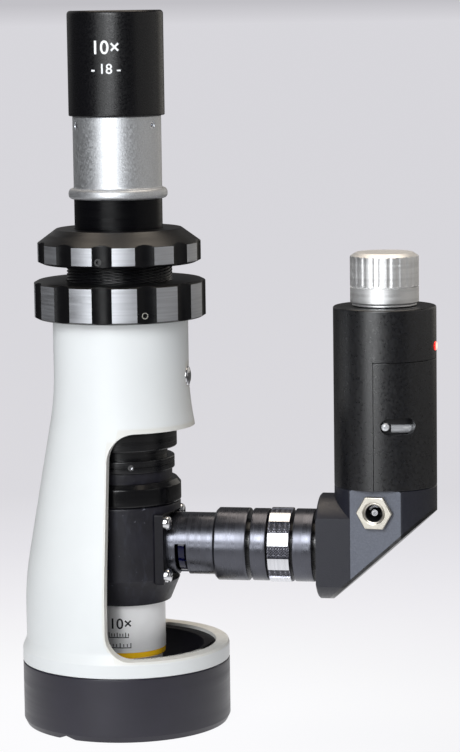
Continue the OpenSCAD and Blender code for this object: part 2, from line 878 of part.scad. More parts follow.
module elbow_mirror() {
    color("#cfd8de") intersection() {
        at_lamp() translate([0, 0, miter_z]) rotate([0, -miter_angle, 0])
            translate([-2 * mirror_half, -mirror_half, cover_t])
                cube([4 * mirror_half, 2 * mirror_half, mirror_t]);
        at_lamp() post(shaft_bore_r - gap, arm_z - block_r, led_pocket_z);
    }
}

module jack_body() {
    color("#1a1a1c") at_lamp() rotate([0, 0, -90]) translate([elbow_flat, 0, jack_z]) rotate([0, 90, 0])
        tube(jack_r, jack_hole_r, -jack_depth, jack_nut_t * 0.8);
    color("#1a1a1c") at_lamp()
        radial_pin(-90, jack_z, jack_r, elbow_flat - jack_depth - 1, elbow_flat - jack_depth);
}

module jack_nut() {
    flat_to_corner = jack_nut_af / 2 / cos(30);
    color("#cdbf9a") at_lamp() rotate([0, 0, -90]) translate([elbow_flat, 0, jack_z]) rotate([0, 90, 0])
        difference() {
            intersection() {
                rotate([0, 0, 30]) cylinder(r = flat_to_corner, h = jack_nut_t, $fn = 6);
                turned([
                    [0, 0, 0], [flat_to_corner, 0, 0], [flat_to_corner, jack_nut_t - 0.5, 0],
                    [jack_nut_af / 2 - 0.1, jack_nut_t, 0], [0, jack_nut_t, 0]
                ]);
            }
            post(jack_r, -over, jack_nut_t + over);
        }
}

module jack_pin() {
    color("#d0d0d2") at_lamp()
        radial_pin(-90, jack_z, jack_pin_r, elbow_flat - jack_depth, elbow_flat + 0.6);
}

module led_board() {
    color("#e6e6e0") at_lamp() post(shaft_bore_r - run, led_board_z, led_board_z + led_board_t);
}

module led_emitter() {
    color("#f3e9a0") at_lamp() intersection() {
        translate([0, 0, led_board_z]) sphere(r = led_dome_r);
        post(2 * led_dome_r, led_board_z - 2 * led_dome_r, led_board_z);
    }
}

// ---- lamp ----

// half of the lamp's space, on the door's side
module door_side(shift) {
    translate([shift, -2 * lamp_r, lamp_low_z - over])
        cube([2 * lamp_r, 4 * lamp_r, door_top_z - lamp_low_z + over]);
}

module lamp_tube() {
    color("#19191c") at_lamp() difference() {
        union() {
            difference() {
                turned([
                    [lamp_bore_r, lamp_low_z, 0], [lamp_r - 0.3, lamp_low_z, 0],
                    [lamp_r, lamp_low_z + 0.3, 0],
                    [lamp_r, lamp_top_z - lamp_edge, 0], [lamp_r - lamp_edge, lamp_top_z, 0],
                    [lamp_bore_r, lamp_top_z, 0]
                ]);
                door_side(0);
            }
            post(lamp_bore_r - gap, lamp_low_z, lamp_low_z + lamp_floor_t);
            difference() {
                post(lamp_bore_r, lamp_low_z, lamp_low_z + lamp_floor_t);
                door_side(0);
            }
            post(lamp_bore_r, door_top_z, door_top_z + bulkhead_t);
            post(lamp_bore_r, lamp_top_z - lamp_lid_t, lamp_top_z);
        }
        post(dimmer_bush_r + run, lamp_top_z - lamp_lid_t - over, lamp_top_z + over);
        radial_pin(0, led_lens_z, led_lens_r + run, lamp_bore_r - over, lamp_r + over);
    }
}

module battery_cradle() {
    low_z = lamp_low_z + lamp_floor_t;
    color("#2f2f33") at_lamp() translate([cell_shift, 0, 0]) difference() {
        post(cradle_r, low_z, door_top_z);
        post(cell_r + gap / 2, cell_z - 0.8, cell_z + cell_h + 1.9);
        translate([1, -2 * cradle_r, low_z - over])
            cube([2 * cradle_r, 4 * cradle_r, door_top_z - low_z + 2 * over]);
    }
}

module battery_cell() {
    color("#2f6fb5") at_lamp() translate([cell_shift, 0, 0]) turned([
        [0, cell_z, 0], [cell_r, cell_z, 0.6], [cell_r, cell_z + cell_h - 1, 0.6],
        [contact_r, cell_z + cell_h - 1, 0], [contact_r, cell_z + cell_h, 0.3], [0, cell_z + cell_h, 0]
    ]);
}

module battery_contacts() {
    color("#c8b273") at_lamp() translate([cell_shift, 0, 0]) {
        post(contact_r, cell_z - 0.8, cell_z);
        post(contact_r, cell_z + cell_h, cell_z + cell_h + 1.9);
    }
}

module circuit_board() {
    color("#1f6b3d") at_lamp() post(board_r, board_z, board_z + board_t);
}

module dimmer_body() {
    color("#4a4c50") at_lamp() difference() {
        union() {
            post(dimmer_r, dimmer_low_z, dimmer_top_z);
            post(dimmer_bush_r, dimmer_top_z, dimmer_bush_top_z);
            for (x = [-4, 0, 4])
                translate([x, -5, board_z + board_t]) cube([0.8, 0.8, dimmer_low_z - board_z]);
        }
        post(dimmer_shaft_r + run, dimmer_shaft_low_z - gap, dimmer_bush_top_z + over);
    }
}

module dimmer_shaft() {
    color("#bfc0c3") at_lamp() post(dimmer_shaft_r, dimmer_shaft_low_z, knob_bore_top_z);
}

module indicator_led() {
    color("#e02020") at_lamp() rotate([0, 90, 0]) translate([-led_lens_z, 0, 0]) turned([
        [0, led_lens_in_r, 0], [led_lens_r, led_lens_in_r, 0], [led_lens_r, lamp_r + led_lens_out, 0.6],
        [0, lamp_r + led_lens_out, 0]
    ]);
}

module lamp_knob() {
    color("#cfd0d3") at_lamp() difference() {
        turned([
            [dimmer_shaft_r, knob_low_z, 0], [knob_foot_r, knob_low_z, 0],
            [knob_foot_r, knob_low_z + knob_foot_h / 2, 0], [knob_r, knob_low_z + knob_foot_h, 0],
            [knob_r, knob_line_z - knob_line_w / 2, 0], [knob_r - knob_line_w, knob_line_z, 0],
            [knob_r, knob_line_z + knob_line_w / 2, 0], [knob_r, knob_flute_top_z, 0.3],
            [knob_crown_r, knob_top_z, 0.3], [0, knob_top_z, 0], [0, knob_bore_top_z, 0],
            [dimmer_shaft_r, knob_bore_top_z, 0]
        ]);
        for (i = [0:knob_flutes - 1])
            rotate([0, 0, (i + 0.5) * 360 / knob_flutes])
                translate([knob_r + knob_flute_r * 0.2, 0, knob_line_z + knob_line_w / 2])
                    cylinder(r = knob_flute_r, h = knob_top_z - knob_line_z);
    }
}

module battery_door() {
    end_angle = asin(latch_slot_h / 2 / lamp_r);
    color("#1b1b1e") at_lamp() difference() {
        tube(lamp_r, lamp_bore_r, lamp_low_z + gap, door_top_z - gap);
        translate([gap - 4 * lamp_r, -2 * lamp_r, lamp_low_z - over])
            cube([4 * lamp_r, 4 * lamp_r, door_top_z - lamp_low_z + 2 * over]);
        ring_sector(
            lamp_bore_r - over, lamp_r + over, latch_z - latch_slot_h / 2, latch_z + latch_slot_h / 2,
            latch_slot_from + end_angle, latch_slot_to - end_angle
        );
        for (a = [latch_slot_from + end_angle, latch_slot_to - end_angle])
            radial_pin(a, latch_z, latch_slot_h / 2, lamp_bore_r - 2 * over, lamp_r + over);
    }
}

module door_latch() {
    color("#c9cacd") at_lamp() {
        ring_sector(
            latch_plate_r, latch_plate_r + latch_plate_t,
            latch_z - latch_plate_h / 2, latch_z + latch_plate_h / 2, latch_plate_from, latch_plate_to
        );
        ring_sector(
            latch_plate_r + latch_plate_t / 2, latch_bar_out,
            latch_z - latch_bar_h / 2, latch_z + latch_bar_h / 2, latch_bar_from, latch_bar_to
        );
        radial_pin(
            latch_pin_at, latch_z, latch_pin_r, latch_plate_r + latch_plate_t / 2, lamp_r + latch_pin_out
        );
    }
}

// ---- eyepiece ----

module eyepiece_cap() {
    color("#19191b") turned([
        [barrel_r, shoulder_z, 0], [cap_r, shoulder_z, 0.3], [cap_r, cap_top_z, cap_edge_r],
        [cap_eye_rim_r, cap_top_z, 0.4], [cap_eye_r, cap_eye_z, 0],
        [cap_eye_r, eye_lens_low_z + eye_lens_h, 0],
        [eye_lens_r, eye_lens_low_z + eye_lens_h, 0], [eye_lens_r, cap_bore_top_z, 0],
        [cap_bore_r, cap_bore_top_z, 0], [cap_bore_r, barrel_top_z, 0], [barrel_r, barrel_top_z, 0]
    ]);
}

module eyepiece_barrel() {
    color("#8b8c90") tube(barrel_r, barrel_bore_r, barrel_low_z, barrel_top_z);
}

module eye_lens() {
    color("#a9c6d8") lens(eye_lens_r, eye_lens_low_z, eye_lens_h, 1.6);
}

module field_lens() {
    color("#a9c6d8") lens(barrel_bore_r, field_lens_z, field_lens_h, 1.4);
}

module field_stop() {
    color("#2a2a2d") tube(barrel_bore_r, field_stop_r, field_stop_z, field_stop_z + field_stop_t);
}

body_shell();
base_ring();
base_magnets();
guide_screw();
coarse_ring();
coarse_ring_screw();
neck_sleeve();
fine_ring();
fine_ring_screw();
main_tube();
draw_tube();
eyepiece_tube();
tube_set_screws();
lock_ring();
collar_ring();
illuminator_housing();
splitter_cell();
beam_splitter();
objective_barrel();
objective_color_ring();
objective_nose();
objective_lens();
flange_plate();
flange_screws();
filter_tube();
blue_filter();
arm_core();
lens_tube();
condenser_lens();
spacer_ring();
aperture_ring();
iris_leaves();
end_tube();
collector_lens();
elbow_body();
elbow_mirror();
mirror_cover();
mirror_cover_screws();
jack_body();
jack_nut();
jack_pin();
led_board();
led_emitter();
lamp_tube();
battery_cradle();
battery_cell();
battery_contacts();
circuit_board();
dimmer_body();
dimmer_shaft();
indicator_led();
lamp_knob();
battery_door();
door_latch();
eyepiece_cap();
eyepiece_barrel();
eye_lens();
field_lens();
field_stop();
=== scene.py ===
import json
import math

import bmesh
import bpy
from mathutils import Matrix, Vector


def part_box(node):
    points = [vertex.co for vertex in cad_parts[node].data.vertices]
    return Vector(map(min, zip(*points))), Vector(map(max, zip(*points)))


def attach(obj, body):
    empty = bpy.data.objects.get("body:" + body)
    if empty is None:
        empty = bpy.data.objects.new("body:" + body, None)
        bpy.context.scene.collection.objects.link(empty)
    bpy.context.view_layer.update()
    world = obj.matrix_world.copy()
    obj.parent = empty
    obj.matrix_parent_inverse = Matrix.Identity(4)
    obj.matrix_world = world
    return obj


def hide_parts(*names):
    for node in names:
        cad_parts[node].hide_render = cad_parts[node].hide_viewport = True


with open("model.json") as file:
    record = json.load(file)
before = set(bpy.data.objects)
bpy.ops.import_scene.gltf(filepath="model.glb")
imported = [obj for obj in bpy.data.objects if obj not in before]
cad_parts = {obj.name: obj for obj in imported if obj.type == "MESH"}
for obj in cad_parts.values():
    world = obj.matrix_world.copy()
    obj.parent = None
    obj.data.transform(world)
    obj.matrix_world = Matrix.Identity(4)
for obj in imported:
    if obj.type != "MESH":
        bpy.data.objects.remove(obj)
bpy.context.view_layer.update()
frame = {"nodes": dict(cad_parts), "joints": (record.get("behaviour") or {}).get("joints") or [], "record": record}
SCENE = bpy.context.scene
NODES = frame["nodes"]
BODY_OF = {n: b for b, ns in frame["record"]["behaviour"]["bodies"].items() for n in ns}
SLOT_OF = {s["node"]: s["material_slot"] for s in frame["record"]["subparts"]}
MM = 0.001
TURN = 2 * math.pi
# The gap between turned parts and the radius of a set screw's hole, in millimetres
FIT = 0.06
SET_SCREW_R = 1.28


# ---------- places from the frame

def height(node):
    """Lowest and highest Z of a CAD node, in millimetres."""
    low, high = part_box(node)
    return low.z / MM, high.z / MM


def radius(node):
    """Half the width of a round upright CAD node, in millimetres."""
    low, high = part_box(node)
    return (high.y - low.y) / 2 / MM


ARM_Z = (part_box("lens_tube")[0].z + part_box("lens_tube")[1].z) / 2
KNOB_LOW, KNOB_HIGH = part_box("lamp_knob")
LAMP_AXIS = Vector(((KNOB_LOW.x + KNOB_HIGH.x) / 2, (KNOB_LOW.y + KNOB_HIGH.y) / 2, 0))
DOOR_AXIS = next(joint["axis"] for joint in frame["joints"] if joint["name"] == "door_slide")
LAMP_CLOCK = math.atan2(DOOR_AXIS[1], DOOR_AXIS[0])
UPRIGHT = Matrix.Identity(4)
ALONG_ARM = Matrix.Translation((0, 0, ARM_Z)) @ Matrix.Rotation(math.pi / 2, 4, "Y")
AT_LAMP = Matrix.Translation(LAMP_AXIS) @ Matrix.Rotation(LAMP_CLOCK, 4, "Z")


# ---------- material tools

def srgb(r, g, b):
    """Linear colour of an sRGB colour given from 0 to 255."""
    def linear(c):
        c = c / 255
        return c / 12.92 if c <= 0.04045 else ((c + 0.055) / 1.055) ** 2.4
    return (linear(r), linear(g), linear(b), 1.0)


def mixed(tree, fac, a, b):
    """Mix of two colours by a factor. a and b are colours or sockets."""
    made = tree.nodes.new("ShaderNodeMix")
    made.data_type = "RGBA"
    tree.links.new(fac, made.inputs["Factor"])
    for socket, value in ((made.inputs[6], a), (made.inputs[7], b)):
        if hasattr(value, "links"):
            tree.links.new(value, socket)
        else:
            socket.default_value = value
    return made.outputs[2]


class Shader:
    """A material being built: its node tree, its Principled shader and the object's own coordinates."""

    def __init__(self, name, color, rough, metallic=0.0, **inputs):
        self.material = bpy.data.materials.new(name)
        self.material.use_nodes = True
        self.tree = self.material.node_tree
        self.bsdf = self.tree.nodes["Principled BSDF"]
        self.color = color
        self.rough = rough
        self.height = None
        self.bsdf.inputs["Base Color"].default_value = color
        self.bsdf.inputs["Roughness"].default_value = rough
        self.bsdf.inputs["Metallic"].default_value = metallic
        for key, value in inputs.items():
            self.bsdf.inputs[key.replace("_", " ")].default_value = value
        self.coords = self.tree.nodes.new("ShaderNodeTexCoord").outputs["Object"]

    def link(self, a, b):
        self.tree.links.new(a, b)

    def noise(self, scale, stretch=(1, 1, 1), detail=3.0):
        """Noise over the object's own coordinates. Its scale is in cells a metre."""
        place = self.tree.nodes.new("ShaderNodeMapping")
        place.inputs["Scale"].default_value = [scale * s for s in stretch]
        made = self.tree.nodes.new("ShaderNodeTexNoise")
        made.inputs["Scale"].default_value = 1.0
        made.inputs["Detail"].default_value = detail
        made.inputs["Roughness"].default_value = 0.55
        self.link(self.coords, place.inputs["Vector"])
        self.link(place.outputs["Vector"], made.inputs["Vector"])
        return made.outputs["Fac"]

    def remap(self, value, low, high, to_low, to_high):
        made = self.tree.nodes.new("ShaderNodeMapRange")
        made.inputs["From Min"].default_value = low
        made.inputs["From Max"].default_value = high
        made.inputs["To Min"].default_value = to_low
        made.inputs["To Max"].default_value = to_high
        self.link(value, made.inputs["Value"])
        return made.outputs["Result"]

    def vary_color(self, value, other, low=0.35, high=0.65, amount=1.0):
        """Mixes another colour in where value is high."""
        start = self.bsdf.inputs["Base Color"]
        base = start.links[0].from_socket if start.links else self.color
        fac = self.remap(value, low, high, 0.0, amount)
        self.link(mixed(self.tree, fac, base, other), start)

    def vary_rough(self, value, spread):
        rough = self.remap(value, 0.3, 0.7, self.rough - spread, self.rough + spread)
        self.link(rough, self.bsdf.inputs["Roughness"])

    def bump(self, value, depth, strength=1.0):
        """Bump of a depth in metres. Several add up."""
        made = self.tree.nodes.new("ShaderNodeBump")
        made.inputs["Strength"].default_value = strength
        made.inputs["Distance"].default_value = depth
        self.link(value, made.inputs["Height"])
        if self.height:
            self.link(self.height, made.inputs["Normal"])
        self.height = made.outputs["Normal"]
        self.link(self.height, self.bsdf.inputs["Normal"])

    def worn_edges(self, color, low=0.53, high=0.6, amount=0.6):
        """Lighter where the surface is sharp and convex, as finish rubs off. On the grip rings these lighter edges
        are also painted glints.
        """
        edges = self.tree.nodes.new("ShaderNodeNewGeometry").outputs["Pointiness"]
        self.vary_color(edges, color, low, high, amount)


RINGS_Z = (0.03, 0.03, 1.0)
RINGS_X = (1.0, 0.03, 0.03)
EVEN = (1, 1, 1)


def white_paint():
    coat = {"Coat_Weight": 0.06, "Coat_Roughness": 0.25}
    s = Shader("white_paint", srgb(226, 229, 230), 0.38, Specular_IOR_Level=0.3, **coat)
    s.vary_color(s.noise(60), srgb(223, 226, 227), 0.3, 0.7)
    s.vary_rough(s.noise(220), 0.03)
    s.bump(s.noise(900, detail=2), 0.00001, 0.25)
    s.worn_edges(srgb(216, 213, 204), 0.57, 0.67, 0.5)
    return s.material


def cut_paint():
    s = Shader("shell_cut_face", srgb(240, 240, 236), 0.42)
    s.vary_color(s.noise(300), srgb(231, 230, 224))
    s.bump(s.noise(1600), 0.00003, 0.3)
    return s.material


def base_black():
    s = Shader("base_black", srgb(30, 28, 41), 0.38, 0.0, Specular_IOR_Level=0.58)
    s.vary_color(s.noise(120), srgb(27, 25, 37), 0.3, 0.7)
    s.vary_rough(s.noise(500, RINGS_Z), 0.06)
    s.bump(s.noise(2600), 0.00003, 0.35)
    s.bump(s.noise(1500, RINGS_Z, detail=1), 0.00002, 0.25)
    s.worn_edges(srgb(120, 122, 134), 0.55, 0.65, 0.6)
    return s.material


def anodised(name, color, rough, rings, grain=2200, lines=2400, gloss=0.7, warm=None, metallic=0.0, edge_wear_and_glint=0.0):
    """Anodised aluminium with turning marks along rings."""
    s = Shader(name, color, rough, metallic, Specular_IOR_Level=gloss)
    s.vary_rough(s.noise(700, rings), 0.07)
    s.bump(s.noise(lines, rings, detail=2), 0.00002, 0.35)
    s.bump(s.noise(grain, detail=1), 0.000012, 0.3)
    s.vary_color(s.noise(90), tuple(c * 1.35 for c in color[:3]) + (1,), 0.3, 0.75)
    if warm:
        s.vary_color(s.noise(35, (1, 1, 0.4)), warm, 0.45, 0.75, 0.6)
    # Lighter convex edges: partly rubbed-off anodising, partly painted glints along the edges
    if edge_wear_and_glint:
        s.worn_edges(tuple(min(1, c * 4 + 0.03) for c in color[:3]) + (1,), 0.55, 0.65, edge_wear_and_glint)
    return s.material


def blasted(name, color, rough, metallic=1.0, grain=2600, depth=0.00005, strength=0.6, gloss=0.5):
    """A bead-blasted surface: a fine even sparkle."""
    s = Shader(name, color, rough, metallic, Specular_IOR_Level=gloss)
    s.vary_rough(s.noise(grain * 0.6), 0.1)
    s.vary_color(s.noise(grain, detail=1), tuple(min(1, c * 1.25) for c in color[:3]) + (1,), 0.4, 0.7, 0.6)
    s.bump(s.noise(grain, detail=2), depth, strength)
    return s.material


def lined_metal(name, color, rough, rings, lines=3000, depth=0.00003, strength=0.4):
    """Bright turned metal with fine lines."""
    s = Shader(name, color, rough, 1.0)
    s.vary_rough(s.noise(lines * 0.5, rings), 0.08)
    s.vary_color(s.noise(lines * 0.7, rings, detail=1), tuple(c * 0.86 for c in color[:3]) + (1,), 0.35, 0.7)
    s.bump(s.noise(lines, rings, detail=2), depth, strength)
    return s.material


def plain(name, color, rough, metallic=0.0, grain=1200, depth=0.00002, **inputs):
    s = Shader(name, color, rough, metallic, **inputs)
    s.vary_rough(s.noise(grain * 0.4), 0.04)
    s.vary_color(s.noise(grain * 0.2), tuple(c * 0.9 for c in color[:3]) + (1,))
    if depth:
        s.bump(s.noise(grain), depth, 0.3)
    return s.material


def glass(name, color, tint=1.0, gloss=0.5):
    s = Shader(name, color, 0.03, 0.0, Transmission_Weight=tint, IOR=1.5, Specular_IOR_Level=gloss)
    s.vary_rough(s.noise(300), 0.01)
    return s.material


def housing_black():
    """Lightly blasted black anodising, with a few pale specks of dust."""
    s = Shader("housing_black", srgb(17, 16, 24), 0.42, 0.0, Specular_IOR_Level=0.5)
    s.vary_color(s.noise(140), srgb(27, 26, 36), 0.35, 0.75)
    s.vary_color(s.noise(420, (1, 1, 0.35), 4), srgb(52, 54, 66), 0.55, 0.8, 0.5)
    s.vary_color(s.noise(700, detail=1), srgb(110, 112, 122), 0.74, 0.8, 0.6)
    s.vary_rough(s.noise(900), 0.08)
    s.bump(s.noise(2400, detail=2), 0.00004, 0.45)
    s.worn_edges(srgb(110, 112, 122), 0.55, 0.65, 0.5)
    return s.material


def lamp_black():
    """Satin black anodising with a fine grain that sparkles in the highlight."""
    s = Shader("lamp_black", srgb(5, 5, 8), 0.33, 0.0, Specular_IOR_Level=0.85)
    s.vary_color(s.noise(2600, detail=1), srgb(34, 36, 43), 0.55, 0.8, 0.5)
    s.vary_color(s.noise(900, detail=1), srgb(14, 15, 20), 0.45, 0.7)
    s.vary_rough(s.noise(1200), 0.08)
    s.bump(s.noise(2400, detail=2), 0.00004, 0.5)
    s.bump(s.noise(1400, RINGS_Z, detail=1), 0.00001, 0.2)
    return s.material


def red_led():
    s = Shader("red_led", srgb(235, 30, 25), 0.15, 0.0, Emission_Strength=1.5)
    low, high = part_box("indicator_led")
    away = s.tree.nodes.new("ShaderNodeVectorMath")
    away.operation = "DISTANCE"
    away.inputs[1].default_value = (high[0], (low[1] + high[1]) / 2, (low[2] + high[2]) / 2)
    s.link(s.coords, away.inputs[0])
    near = s.remap(away.outputs["Value"], 0.0009, 0.0017, 1.0, 0.0)
    glow = mixed(s.tree, near, srgb(235, 24, 18), srgb(255, 214, 194))
    s.link(glow, s.bsdf.inputs["Emission Color"])
    s.vary_rough(s.noise(600), 0.04)
    return s.material


BLACK = srgb(9, 9, 12)
MATERIALS = {
    "white_paint": white_paint(),
    "shell_cut": cut_paint(),
    "base_black": base_black(),
    "magnet": lined_metal("magnet", srgb(200, 200, 205), 0.3, EVEN, 900),
    "chrome": lined_metal("chrome", srgb(225, 226, 230), 0.12, EVEN, 900, 0.00001, 0.2),
    # The grip rings' edges are painted lighter: partly wear, partly painted glints
    "grip_black": anodised(
        "grip_black", srgb(9, 9, 11), 0.34, RINGS_Z, gloss=0.5, warm=srgb(22, 21, 19), edge_wear_and_glint=0.6
    ),
    "grip_pad": lined_metal("grip_pad", srgb(206, 208, 213), 0.48, RINGS_Z, 2600, 0.00002, 0.4),
    "screw_steel": lined_metal("screw_steel", srgb(150, 150, 155), 0.3, EVEN, 1500),
    "black_anodised": anodised("black_anodised", BLACK, 0.28, RINGS_Z),
    "arm_anodised": anodised(
        "arm_anodised", srgb(80, 81, 88), 0.27, RINGS_X, grain=2600, gloss=1.0, metallic=0.9
    ),
    "gloss_black": anodised("gloss_black", srgb(8, 8, 10), 0.16, RINGS_Z, 1500, 1200, 0.5),
    "flute_black": anodised("flute_black", srgb(9, 9, 11), 0.34, RINGS_Z, gloss=0.22),
    "sleeve_black": anodised("sleeve_black", srgb(6, 6, 8), 0.3, RINGS_Z, gloss=0.12),
    # The elbow's flat: a lighter copy of the blasted black, as painted light
    "elbow_flat": blasted("elbow_flat", srgb(90, 94, 105), 0.45, 0.0, 1500, 0.00008, 0.8),
    "satin_silver": blasted("satin_silver", srgb(214, 216, 219), 0.5, 1.0, 2300, 0.00001, 0.35),
    "objective_silver": plain("objective_silver", srgb(250, 250, 251), 0.32, 0.3, 300, 0),
    "yellow_paint": plain("yellow_paint", srgb(255, 200, 34), 0.16, Coat_Weight=0.8),
    "clear_glass": glass("clear_glass", srgb(215, 232, 240)),
    "blue_glass": glass("blue_glass", srgb(7, 9, 58), 0.5, 0.2),
    "knurled_aluminium": lined_metal("knurl_grey", srgb(122, 122, 130), 0.35, RINGS_X, 2500),
    "pad_bright": lined_metal("pad_bright", srgb(226, 227, 232), 0.28, RINGS_X, 2500),
    "iris_steel": anodised("iris_steel", srgb(40, 40, 44), 0.4, EVEN),
    "blasted_black": blasted("blasted_black", srgb(29, 30, 39), 0.4, 0.0, 2400, 0.00005, 0.55),
    "mirror": lined_metal("mirror", srgb(235, 238, 240), 0.03, EVEN, 300, 0.000004, 0.1),
    "black_plastic": plain("black_plastic", srgb(34, 34, 36), 0.45),
    "nickel": plain("nickel", srgb(214, 209, 198), 0.32, 1.0),
    "pin_silver": lined_metal("pin_silver", srgb(214, 214, 218), 0.2, EVEN, 1400),
    "bar_silver": plain("bar_silver", srgb(236, 238, 242), 0.22, 0.6),
    "white_board": plain("white_board", srgb(225, 225, 220), 0.5),
    "led_dome": plain("led_dome", srgb(240, 228, 150), 0.25),
    "cell_wrap": plain("cell_wrap", srgb(40, 105, 180), 0.25, Coat_Weight=0.5),
    "contact_brass": lined_metal("contact_brass", srgb(205, 176, 110), 0.28, EVEN, 1500),
    "green_board": plain("green_board", srgb(28, 100, 58), 0.4),
    "dimmer_steel": lined_metal("dimmer_steel", srgb(150, 152, 156), 0.35, EVEN, 1500),
    "red_led": red_led(),
    "polished_aluminium": lined_metal(
        "polished_aluminium", srgb(253, 253, 253), 0.5, RINGS_Z, 1600, 0.000006, 0.3
    ),
    "cap_black": blasted("cap_black", srgb(6, 6, 9), 0.31, 0.0, 2600, 0.00004, 0.5, gloss=0.44),
    "housing_black": housing_black(),
    "lamp_black": lamp_black(),
    "flange_black": blasted("flange_black", srgb(13, 12, 19), 0.5, 0.0, 1500, 0.00003, 0.4, gloss=0.25),
    "print_white": plain("print_white", srgb(240, 242, 245), 0.5),
    "print_black": plain("print_black", srgb(30, 30, 34), 0.5),
    "inner_black": plain("inner_black", srgb(8, 7, 14), 0.5, Specular_IOR_Level=0.2),
    "shell_inside": plain("shell_inside", srgb(70, 68, 62), 0.5),
    "screw_black": plain("screw_black", srgb(14, 14, 15), 0.35),
    "rim_bright": plain("rim_bright", srgb(160, 158, 150), 0.4),
    "rim_dull": plain("rim_dull", srgb(110, 109, 104), 0.4, 0.2),
}


# ---------- mesh tools

def finish_piece(mesh, name, body, materials, replaces=(), sharp=28):
    """Makes a piece of a mesh, with its materials, sharp edges kept, and the body that it rides on."""
    mesh.name = name
    kinds = [p.material_index for p in mesh.polygons]
    mesh.materials.clear()
    for m in materials:
        mesh.materials.append(MATERIALS[m])
    mesh.polygons.foreach_set("material_index", kinds)
    mesh.shade_smooth()
    mesh.set_sharp_from_angle(angle=math.radians(sharp))
    piece = bpy.data.objects.new(name, mesh)
    SCENE.collection.objects.link(piece)
    piece.modifiers.new("normals", "WEIGHTED_NORMAL").keep_sharp = True
    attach(piece, body)
    if replaces:
        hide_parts(*replaces)
    return piece


def stand_in(mesh, name, node, materials, sharp=28):
    """A piece in place of a CAD node, on its body."""
    return finish_piece(mesh, name, BODY_OF[node], materials, [node], sharp)


def corner_arc(a, b, c, r, steps):
    """Points of the arc of radius r that rounds corner b between a and c."""
    u, v = (a - b).normalized(), (c - b).normalized()
    half = math.acos(max(-1.0, min(1.0, u.dot(v)))) / 2
    centre = b + (u + v).normalized() * (r / math.sin(half))
    p, q = b + u * (r / math.tan(half)) - centre, b + v * (r / math.tan(half)) - centre
    turn = math.atan2(p.x * q.y - p.y * q.x, p.dot(q))
    return [
        centre + Vector((
            p.x * math.cos(turn * i / steps) - p.y * math.sin(turn * i / steps),
            p.x * math.sin(turn * i / steps) + p.y * math.cos(turn * i / steps),
        ))
        for i in range(steps + 1)
    ]


def outline(corners, steps=4):
    """Closed outline in metres from corners (radius, height, rounding) in millimetres."""
    points = [Vector(c[:2]) * MM for c in corners]
    made = []
    for i, corner in enumerate(corners):
        if len(corner) > 2:
            before, after = points[i - 1], points[(i + 1) % len(points)]
            made += corner_arc(before, points[i], after, corner[2] * MM, steps)
        else:
            made.append(points[i])
    return made


def split_long(points, longest, beyond=0.0):
    """The outline with its straight stretches divided, where they reach past the radius beyond."""
    made = []
    for i, p in enumerate(points):
        q = points[(i + 1) % len(points)]
        parts = max(1, math.ceil((q - p).length / longest)) if max(p.x, q.x) > beyond else 1
        made += [p + (q - p) * k / parts for k in range(parts)]
    return made


def edged(points, near=0.7 * MM):
    """The outline with points near both ends of each long straight stretch, so that edges stay narrow."""
    made = []
    for i, p in enumerate(points):
        q = points[(i + 1) % len(points)]
        step = (q - p).normalized() * near
        made += [p, p + step, q - step] if (q - p).length > 4 * near else [p]
    return made


def turned_mesh(points, angles, shape=None, kind=None, place=UPRIGHT):
    """Mesh of an outline turned about Z. shape(angle, radius, z) may change a radius, and
    kind(angle, radius, z) gives a face's material index from its middle."""
    made = bmesh.new()
    grid = []
    for angle in angles:
        ring = []
        for p in points:
            r = shape(angle, p.x, p.y) if shape else p.x
            ring.append(made.verts.new((r * math.cos(angle), r * math.sin(angle), p.y)))
        grid.append(ring)
    count, n = len(angles), len(points)
    for i in range(count):
        one, two = grid[i], grid[(i + 1) % count]
        following = angles[(i + 1) % count] + (TURN if i == count - 1 else 0)
        middle = (angles[i] + following) / 2
        for k in range(n):
            m = (k + 1) % n
            if points[k].x < 1e-7 and points[m].x < 1e-7:
                continue
            face = made.faces.new((one[k], two[k], two[m], one[m]))
            if kind:
                r, z = (points[k].x + points[m].x) / 2, (points[k].y + points[m].y) / 2
                face.material_index = kind(middle, r, z)
    bmesh.ops.remove_doubles(made, verts=made.verts, dist=1e-7)
    bmesh.ops.dissolve_degenerate(made, dist=1e-8, edges=made.edges)
    bmesh.ops.recalc_face_normals(made, faces=made.faces)
    return to_mesh(made, place)


def lathed(corners, count, place):
    """Mesh of a profile turned about Z. The corners are as outline takes them."""
    return turned_mesh(outline(corners), even_angles(count), place=place)


def to_mesh(made, place=UPRIGHT):
    """Mesh of a bmesh, put in its place."""
    made.transform(place)
    mesh = bpy.data.meshes.new("made")
    made.to_mesh(mesh)
    made.free()
    return mesh


def even_angles(count):
    return [TURN * i / count for i in range(count)]


def prism(points, low, high, place=UPRIGHT):
    """A closed outline of (x, y) raised between two heights; all in metres."""
    made = bmesh.new()
    floor = [made.verts.new((p[0], p[1], low)) for p in points]
    roof = [made.verts.new((p[0], p[1], high)) for p in points]
    n = len(points)
    made.faces.new(floor)
    made.faces.new(roof)
    for i in range(n):
        made.faces.new((floor[i], floor[(i + 1) % n], roof[(i + 1) % n], roof[i]))
    bmesh.ops.recalc_face_normals(made, faces=made.faces)
    return to_mesh(made, place)


def circle(r, count=48, centre=(0, 0), start=0.0, turn=TURN):
    """Points on a circle or an arc."""
    closed = abs(turn) > TURN - 1e-6
    steps = count if closed else count - 1
    angles = [start + turn * i / steps for i in range(count)]
    return [(centre[0] + r * math.cos(a), centre[1] + r * math.sin(a)) for a in angles]


def about_z(azimuth):
    return Matrix.Rotation(math.radians(azimuth), 4, "Z")


def radial(azimuth, z, out=0.0):
    """A place on the side of a turned part: local Z points outwards at an azimuth in degrees."""
    moved = Matrix.Translation((out * MM, 0, z * MM))
    return about_z(azimuth) @ moved @ Matrix.Rotation(math.pi / 2, 4, "Y")


def pin_cutter(azimuth, z, r, start, end, place=UPRIGHT):
    """A round cutter that points outwards at an azimuth, between two distances off the axis."""
    return prism(circle(r * MM, 32), 0, (end - start) * MM, place @ radial(azimuth, z, start))


